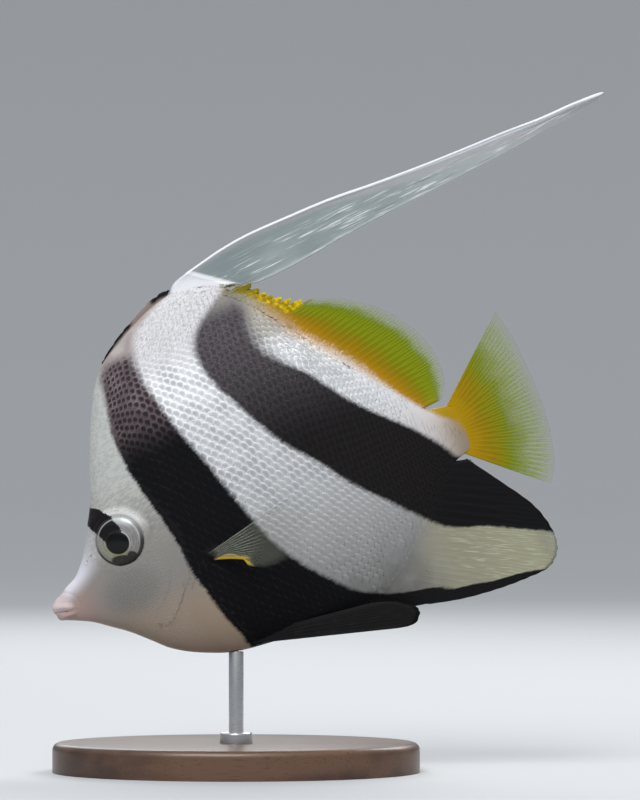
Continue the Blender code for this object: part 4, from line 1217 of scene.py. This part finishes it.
def frames_on(here, lie, hand):
    """Each scale's three directions (the way it lies, across, and out), its spot, and whether it
    found ground to sit on."""
    flip = np.array([1.0, hand, 1.0])
    outward = np.array([0.0, 1.2, 0.0])
    roots = into_world((here + outward) * flip)
    lies = (lie * flip) @ np.array(turn_down.to_3x3()).T
    count = len(roots)
    frames, spots, sits = np.zeros((count, 3, 3)), np.zeros((count, 3)), np.zeros(count, bool)
    for k, (root, way) in enumerate(zip(roots, lies)):
        found, facing, _, gap = ground_tree.find_nearest(Vector(root))
        facing = np.array(facing)
        if facing[1] * hand < 0 or gap > NEAR:
            continue
        way = way - facing * (way @ facing)
        length = np.linalg.norm(way)
        if length < 1e-9:
            continue
        way /= length
        frames[k] = np.stack([way, np.cross(facing, way), facing])
        spots[k], sits[k] = found, True
    return frames, spots, sits


# %% Copying the scale to its places
SHARP_ANGLE = math.radians(50)
LARGE = 0.15  # the large scales are thicker than this
UNWRAP_PATCH = 0.003  # how large a scale is on the skin's unwrap


def scale_coat(name, scales, hand, thickness):
    """One joined mesh of closed scales on one flank."""
    frames, spots, sits = frames_on(scales[0], scales[1], hand)
    frames, spots = frames[sits], spots[sits]
    here, _, length, width, lift, draws, beyond = (each[sits] for each in scales)
    x, _, z = here.T
    depth = np.minimum(thickness, length * 0.16) * (0.85 + 0.3 * draws)
    depth *= 0.3 + 0.7 * smooth(x, 9, 22)
    depth *= 1 - 0.5 * smooth(z, 52, 66)
    if thickness > LARGE:  # the last of them below the dorsal fin lie close to its fleshy root
        close = smooth(beyond, -9.0, -3.0) * smooth(z, 15, 35)
        depth *= 1 - 0.8 * close
        length = length * (1 - 0.22 * close)
    local = plate_points[None] * (np.stack([length, width / 2, depth], axis=1) * MM)[:, None, :]
    points = spots[:, None] + np.einsum("nkc,ncd->nkd", local, frames)
    count = len(plate_points)
    faces = (plate_faces[None] + (np.arange(len(spots)) * count)[:, None, None]).reshape(-1, 4)
    corners = faces.ravel().astype(np.int32)
    mesh = bpy.data.meshes.new(name)
    mesh.vertices.add(len(spots) * count)
    mesh.vertices.foreach_set("co", points.astype(np.float32).ravel())
    mesh.loops.add(len(corners))
    mesh.loops.foreach_set("vertex_index", corners)
    mesh.polygons.add(len(faces))
    mesh.polygons.foreach_set("loop_start", np.arange(0, len(corners), 4, dtype=np.int32))
    mesh.update(calc_edges=True)
    mesh.set_sharp_from_angle(angle=SHARP_ANGLE)
    # Crisp edges stay where they show best. Elsewhere the shading runs softly over each scale.
    crisp = in_bands(here) | (thickness < LARGE) | (draws < (z < 15) * smooth(beyond, -17, -3))
    ends = np.zeros(len(mesh.edges) * 2, np.int32)
    mesh.edges.foreach_get("vertices", ends)
    sharp = np.zeros(len(mesh.edges), bool)
    mesh.attributes["sharp_edge"].data.foreach_get("value", sharp)
    mesh.attributes["sharp_edge"].data.foreach_set("value", sharp & crisp[ends[::2] // count])
    values = np.zeros((len(spots), count, 3), np.float32)
    values[:, :, :2] = plate_marks
    values[:, :, 2] = draws[:, None]
    mesh.attributes.new("plate", "FLOAT_VECTOR", "POINT").data.foreach_set("vector", values.ravel())
    patch = (plate_marks * np.array([1.0, 0.5]) - np.array([0.5, 0.0])) * UNWRAP_PATCH
    spread = (unwrap_place(x, lift, hand)[:, None] + patch[None]).reshape(-1, 2)
    unwrap = mesh.uv_layers.new(name="OFBake")
    unwrap.data.foreach_set("uv", spread[corners].astype(np.float32).ravel())
    mesh.validate()
    return link(mesh)


# %% The scales' finish
def scale_look(name, contrast):
    """Each scale has a soft dark middle and a pale free edge, as strong as its contrast."""
    finish = Finish(name, Specular_IOR_Level=0.13)
    marks = Markings(finish)
    x, z = marks.x, marks.z
    along, across, draw = finish.split(finish.attribute("plate"))
    spot = (((along - 0.68) / 0.26) ** 2 + (across / 0.74) ** 2).ease(1.5, 0.1)
    free_edge = (across * across * 0.5 + along).ease(0.78, 1.05)
    patchy = finish.noise(marks.point, 6.0, detail=2).ease(0.3, 0.65) * 0.35 + 0.65
    strength = x.ease(40, 56) * x.ease(140, 108) * z.ease(-44, 14) * z.ease(68, 54) * patchy
    face = x.ease(46, 38) * x.ease(12, 20)
    ground = finish.coats(
        pale_ground(marks),
        (spot * (strength * 0.62 + 0.03) * contrast, (0.18, 0.185, 0.20)),
        (free_edge * strength * 0.16 * contrast, (0.90, 0.91, 0.92)),
        (spot * face * 0.10, (0.13, 0.125, 0.115)),
        (free_edge * face * 0.10, (0.62, 0.62, 0.60)),
        (draw * 0.10 * contrast, (0.45, 0.45, 0.46)))
    gloss = finish.noise(marks.point, 0.6) * 0.14 + 0.42 + (marks.first + marks.second) * 0.42
    return finish.wear(Base_Color=marks.body_colour(ground, spot=spot * contrast), Roughness=gloss)


large_look, fine_look = scale_look("large_scales", 1.0), scale_look("fine_scales", 0.30)

# %% Joining the scales, as (name, scales, first and last station, thickness, finish)
GROUPS = (("scales_front", body_scales, 0.0, 80.0, 0.22, large_look),
          ("scales_rear", body_scales, 80.0, 170.0, 0.22, large_look),
          ("scales_edge", edge_scales, 0.0, 170.0, 0.07, fine_look),
          ("scales_face", head_scales, 0.0, 30.0, 0.045, fine_look),
          ("scales_cheek", head_scales, 30.0, 60.0, 0.045, fine_look))
for hand, side_name in SIDES:
    for group, scales, start, end, thickness, look in GROUPS:
        chosen = (scales[0][:, 0] >= start) & (scales[0][:, 0] < end)
        coat = scale_coat(f"{group}_{side_name}", [each[chosen] for each in scales], hand, thickness)
        dress(coat, look, "skin")
        print(coat.name, len(coat.data.polygons) * 2, "triangles")

# %% [markdown]
# ## The eyes
#
# A fish has no eyelids: a flat clear window covers a metallic iris with a round black pupil,
# all in a ring of loose skin. The eye is a flattened ball whose pupil bulges and whose iris
# dips, under a glossy coat that stands for the window. The black bar of the brow runs on
# across the iris, so the eye reads the same markings as the skin.

# %% The eyeball
PUPIL_OFFSET = (-0.05, -0.70)  # to the tail and up, seen level
PUPIL_RADIUS = 3.85
PUPIL_STRETCH = 1.04  # how much longer the pupil is than it is high


def eye_place(hand):
    """The eye's middle and the way that it faces, square to the head."""
    x, z = EYE_CENTRE
    rearward = (side(x + EYE_STEP, z) - side(x - EYE_STEP, z)) / (2 * EYE_STEP)
    upward = (side(x, z + EYE_STEP) - side(x, z - EYE_STEP)) / (2 * EYE_STEP)
    facing = Vector((-rearward, 1, -upward)).normalized()
    centre = Vector((x, side(x, z), z)) + facing * (EYE_BULGE - EYE_DEPTH)
    return Vector((centre.x, centre.y * hand, centre.z)), Vector((facing.x, facing.y * hand, facing.z))


def eyeball(name, hand):
    """The ball, with the place on its disc and the distance from the pupil kept for the finish."""
    centre, facing = eye_place(hand)
    across = Vector((1, 0, 0)) - facing * facing.x
    across.normalize()
    upward = Vector((0, 0, 1)) - facing * facing.z - across * across.z
    upward.normalize()
    form = bmesh.new()
    bmesh.ops.create_uvsphere(form, u_segments=96, v_segments=64, radius=1.0)
    disc = form.verts.layers.float_vector.new("disc")
    for corner in form.verts:
        u, v = corner.co.x * EYE_RADIUS, corner.co.y * EYE_RADIUS
        depth = corner.co.z * EYE_DEPTH
        level = (u * cosine - v * sine, u * sine + v * cosine)
        aside, above = level[0] - PUPIL_OFFSET[0], level[1] - PUPIL_OFFSET[1]
        to_pupil = math.hypot(aside / PUPIL_STRETCH, above * PUPIL_STRETCH)
        if corner.co.z > 0:
            depth += 0.22 * hump(to_pupil, PUPIL_RADIUS, 4)
            depth -= 0.22 * hump(to_pupil - PUPIL_RADIUS - 0.9, 1.0)
        corner[disc] = (*level, to_pupil)
        corner.co = pose @ (centre + across * u + upward * v + facing * depth)
    bmesh.ops.recalc_face_normals(form, faces=form.faces)
    return to_object(form, name)


# %% The eye's finish
eye = Finish("eye", Roughness=0.35, Coat_Weight=0.35, Coat_Roughness=0.04, Specular_IOR_Level=0.08)
marks = Markings(eye, rough=0.6)
along, up, to_pupil = eye.split(eye.attribute("disc"))
radius = (along * along + up * up) ** 0.5
circles = eye.node("ShaderNodeTexNoise", {"noise_dimensions": "1D"},
                   {"W": radius, "Scale": 1.6, "Detail": 3.0})
gold = to_pupil.ease(PUPIL_RADIUS + 0.75, PUPIL_RADIUS + 0.25) * (up + along).ease(0.5, -4.0)
pale_rim = to_pupil.ease(PUPIL_RADIUS + 0.55, PUPIL_RADIUS + 0.30) * (up + along).ease(0.0, 4.0)
speckle = eye.noise(marks.point, 0.5, detail=2)
bottom = ((along - 2.0) / 4.7) ** 2 + ((up + 6.9) / 2.2) ** 2
corner_spot = ((along - 4.8) / 1.7) ** 2 + ((up + 4.9) / 1.6) ** 2
patch = (bottom + speckle * 0.5).ease(1.45, 0.95)
patch = patch + (corner_spot + speckle * 0.5).ease(1.5, 0.9) * (1 - patch)
dark = eye.blend(speckle.ease(0.60, 0.72), (0.012, 0.008, 0.008), (0.060, 0.045, 0.038))
below = (up * -1 + along * 0.35).ease(-1.5, 3.5)
pupil_rim = to_pupil.ease(PUPIL_RADIUS + 0.30, PUPIL_RADIUS + 0.02)
pupil = to_pupil.ease(PUPIL_RADIUS + 0.08, PUPIL_RADIUS - 0.10)
iris = eye.coats(
    eye.blend(up.ease(-5.0, 3.0), (0.190, 0.205, 0.135), (0.210, 0.208, 0.212)),
    (along.ease(1.0, 6.0) * up.ease(5.0, 0.0) * 0.85, (0.175, 0.160, 0.160)),
    (up.ease(4.0, 7.5), (0.46, 0.50, 0.495)),
    (circles.ease(0.45, 0.62) * 0.35, (0.44, 0.43, 0.39)),
    (eye.noise(marks.point, 1.2, detail=4).ease(0.45, 0.75) * 0.3, (0.42, 0.40, 0.43)),
    (gold * 0.7, (0.40, 0.28, 0.07)),
    (pale_rim * 0.45, (0.62, 0.68, 0.68)),
    (marks.bar, (0.006, 0.0055, 0.007)),
    (patch * 0.96, dark),
    (radius.ease(7.35, 7.85) * (below * 0.72 + 0.22), (0.028, 0.020, 0.022)),
    (radius.ease(6.9, 7.3) * radius.ease(7.7, 7.4) * up.ease(-1.0, 3.0) * 0.4, (0.62, 0.66, 0.64)),
    (pupil_rim * 0.85, (0.035, 0.022, 0.008)),
    (pupil, (0.0015, 0.002, 0.003)))
sheen = (1 - pupil) * (1 - marks.bar) * (1 - patch) * 0.12
eye.wear(Base_Color=iris, Metallic=sheen)
for hand, side_name in SIDES:
    dress(eyeball(f"eyeball_{side_name}", hand), eye.material, "eye", f"eye_{side_name}")

# %% [markdown]
# ## The stand
#
# A swimming fish needs something to rest on indoors: an oval of dark wood and one steel rod
# with a collar. They are turned shapes, so each grows from a circle by extruding and
# bevelling, and the wood gets long grain that is stretched along the board.

# %% Wood, steel and their shapes
wood = Finish("dark_wood", Coat_Weight=0.25, Coat_Roughness=0.2)
rings = wood.noise(wood.seen((22.0, 260.0, 260.0)), 3.0, detail=5)
pores = wood.noise(wood.seen((120.0, 2600.0, 2600.0)), 1.0, detail=2)
colour = wood.blend(rings.ease(0.35, 0.68), (0.045, 0.021, 0.011), (0.125, 0.062, 0.032))
colour = wood.blend(pores.ease(0.58, 0.72) * 0.7, colour, (0.022, 0.011, 0.007))
wood.wear(Base_Color=colour, Roughness=rings * 0.15 + 0.30, Normal=wood.bump(pores, 0.00006, 0.4))

steel = Finish("brushed_steel", Metallic=1.0)
brushed = steel.noise(steel.seen((400.0, 400.0, 9000.0)), 1.0)
shade = steel.blend(brushed, (0.52, 0.52, 0.53), (0.66, 0.66, 0.67))
steel.wear(Base_Color=shade, Roughness=brushed * 0.2 + 0.2)


def turned(name, radii, low, high, bevel, segments, steps):
    """An upright disc or bar on the stand's axis, with its upper rim rounded."""
    form = bmesh.new()
    bmesh.ops.create_circle(form, cap_ends=True, segments=segments, radius=1.0)
    stretch = Matrix.Diagonal((radii[0] * MM, radii[1] * MM, 1, 1))
    bmesh.ops.transform(form, matrix=Matrix.Translation((0, 0, low * MM)) @ stretch, verts=form.verts)
    top = bmesh.ops.extrude_face_region(form, geom=form.faces[:])["geom"]
    bmesh.ops.translate(form, verts=only(BMVert, top), vec=(0, 0, (high - low) * MM))
    bmesh.ops.recalc_face_normals(form, faces=form.faces)
    bmesh.ops.bevel(form, geom=only(BMEdge, top), offset=bevel * MM, segments=steps, affect="EDGES",
                    profile=0.5, material=-1)
    made = to_object(form, name)
    made.data.set_sharp_from_angle(angle=math.radians(35))
    return made


rod_top = float(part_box("stand_rod")[1].z) / MM
board = turned("base_board", (BASE_LENGTH / 2, BASE_WIDTH / 2), 0, BASE_HEIGHT, 2.5, 160, 6)
dress(board, wood.material, "stand_wood", "stand_base")
rod = turned("rod", (ROD_RADIUS,) * 2, BASE_HEIGHT - 1, rod_top, 0.2, 48, 2)
dress(rod, steel.material, "stand_metal", "stand_rod")
collar = turned("collar", (ROD_RADIUS + 3,) * 2, BASE_HEIGHT - 0.2, BASE_HEIGHT + 3.5, 0.8, 64, 4)
dress(collar, steel.material, "stand_metal", "stand_collar")
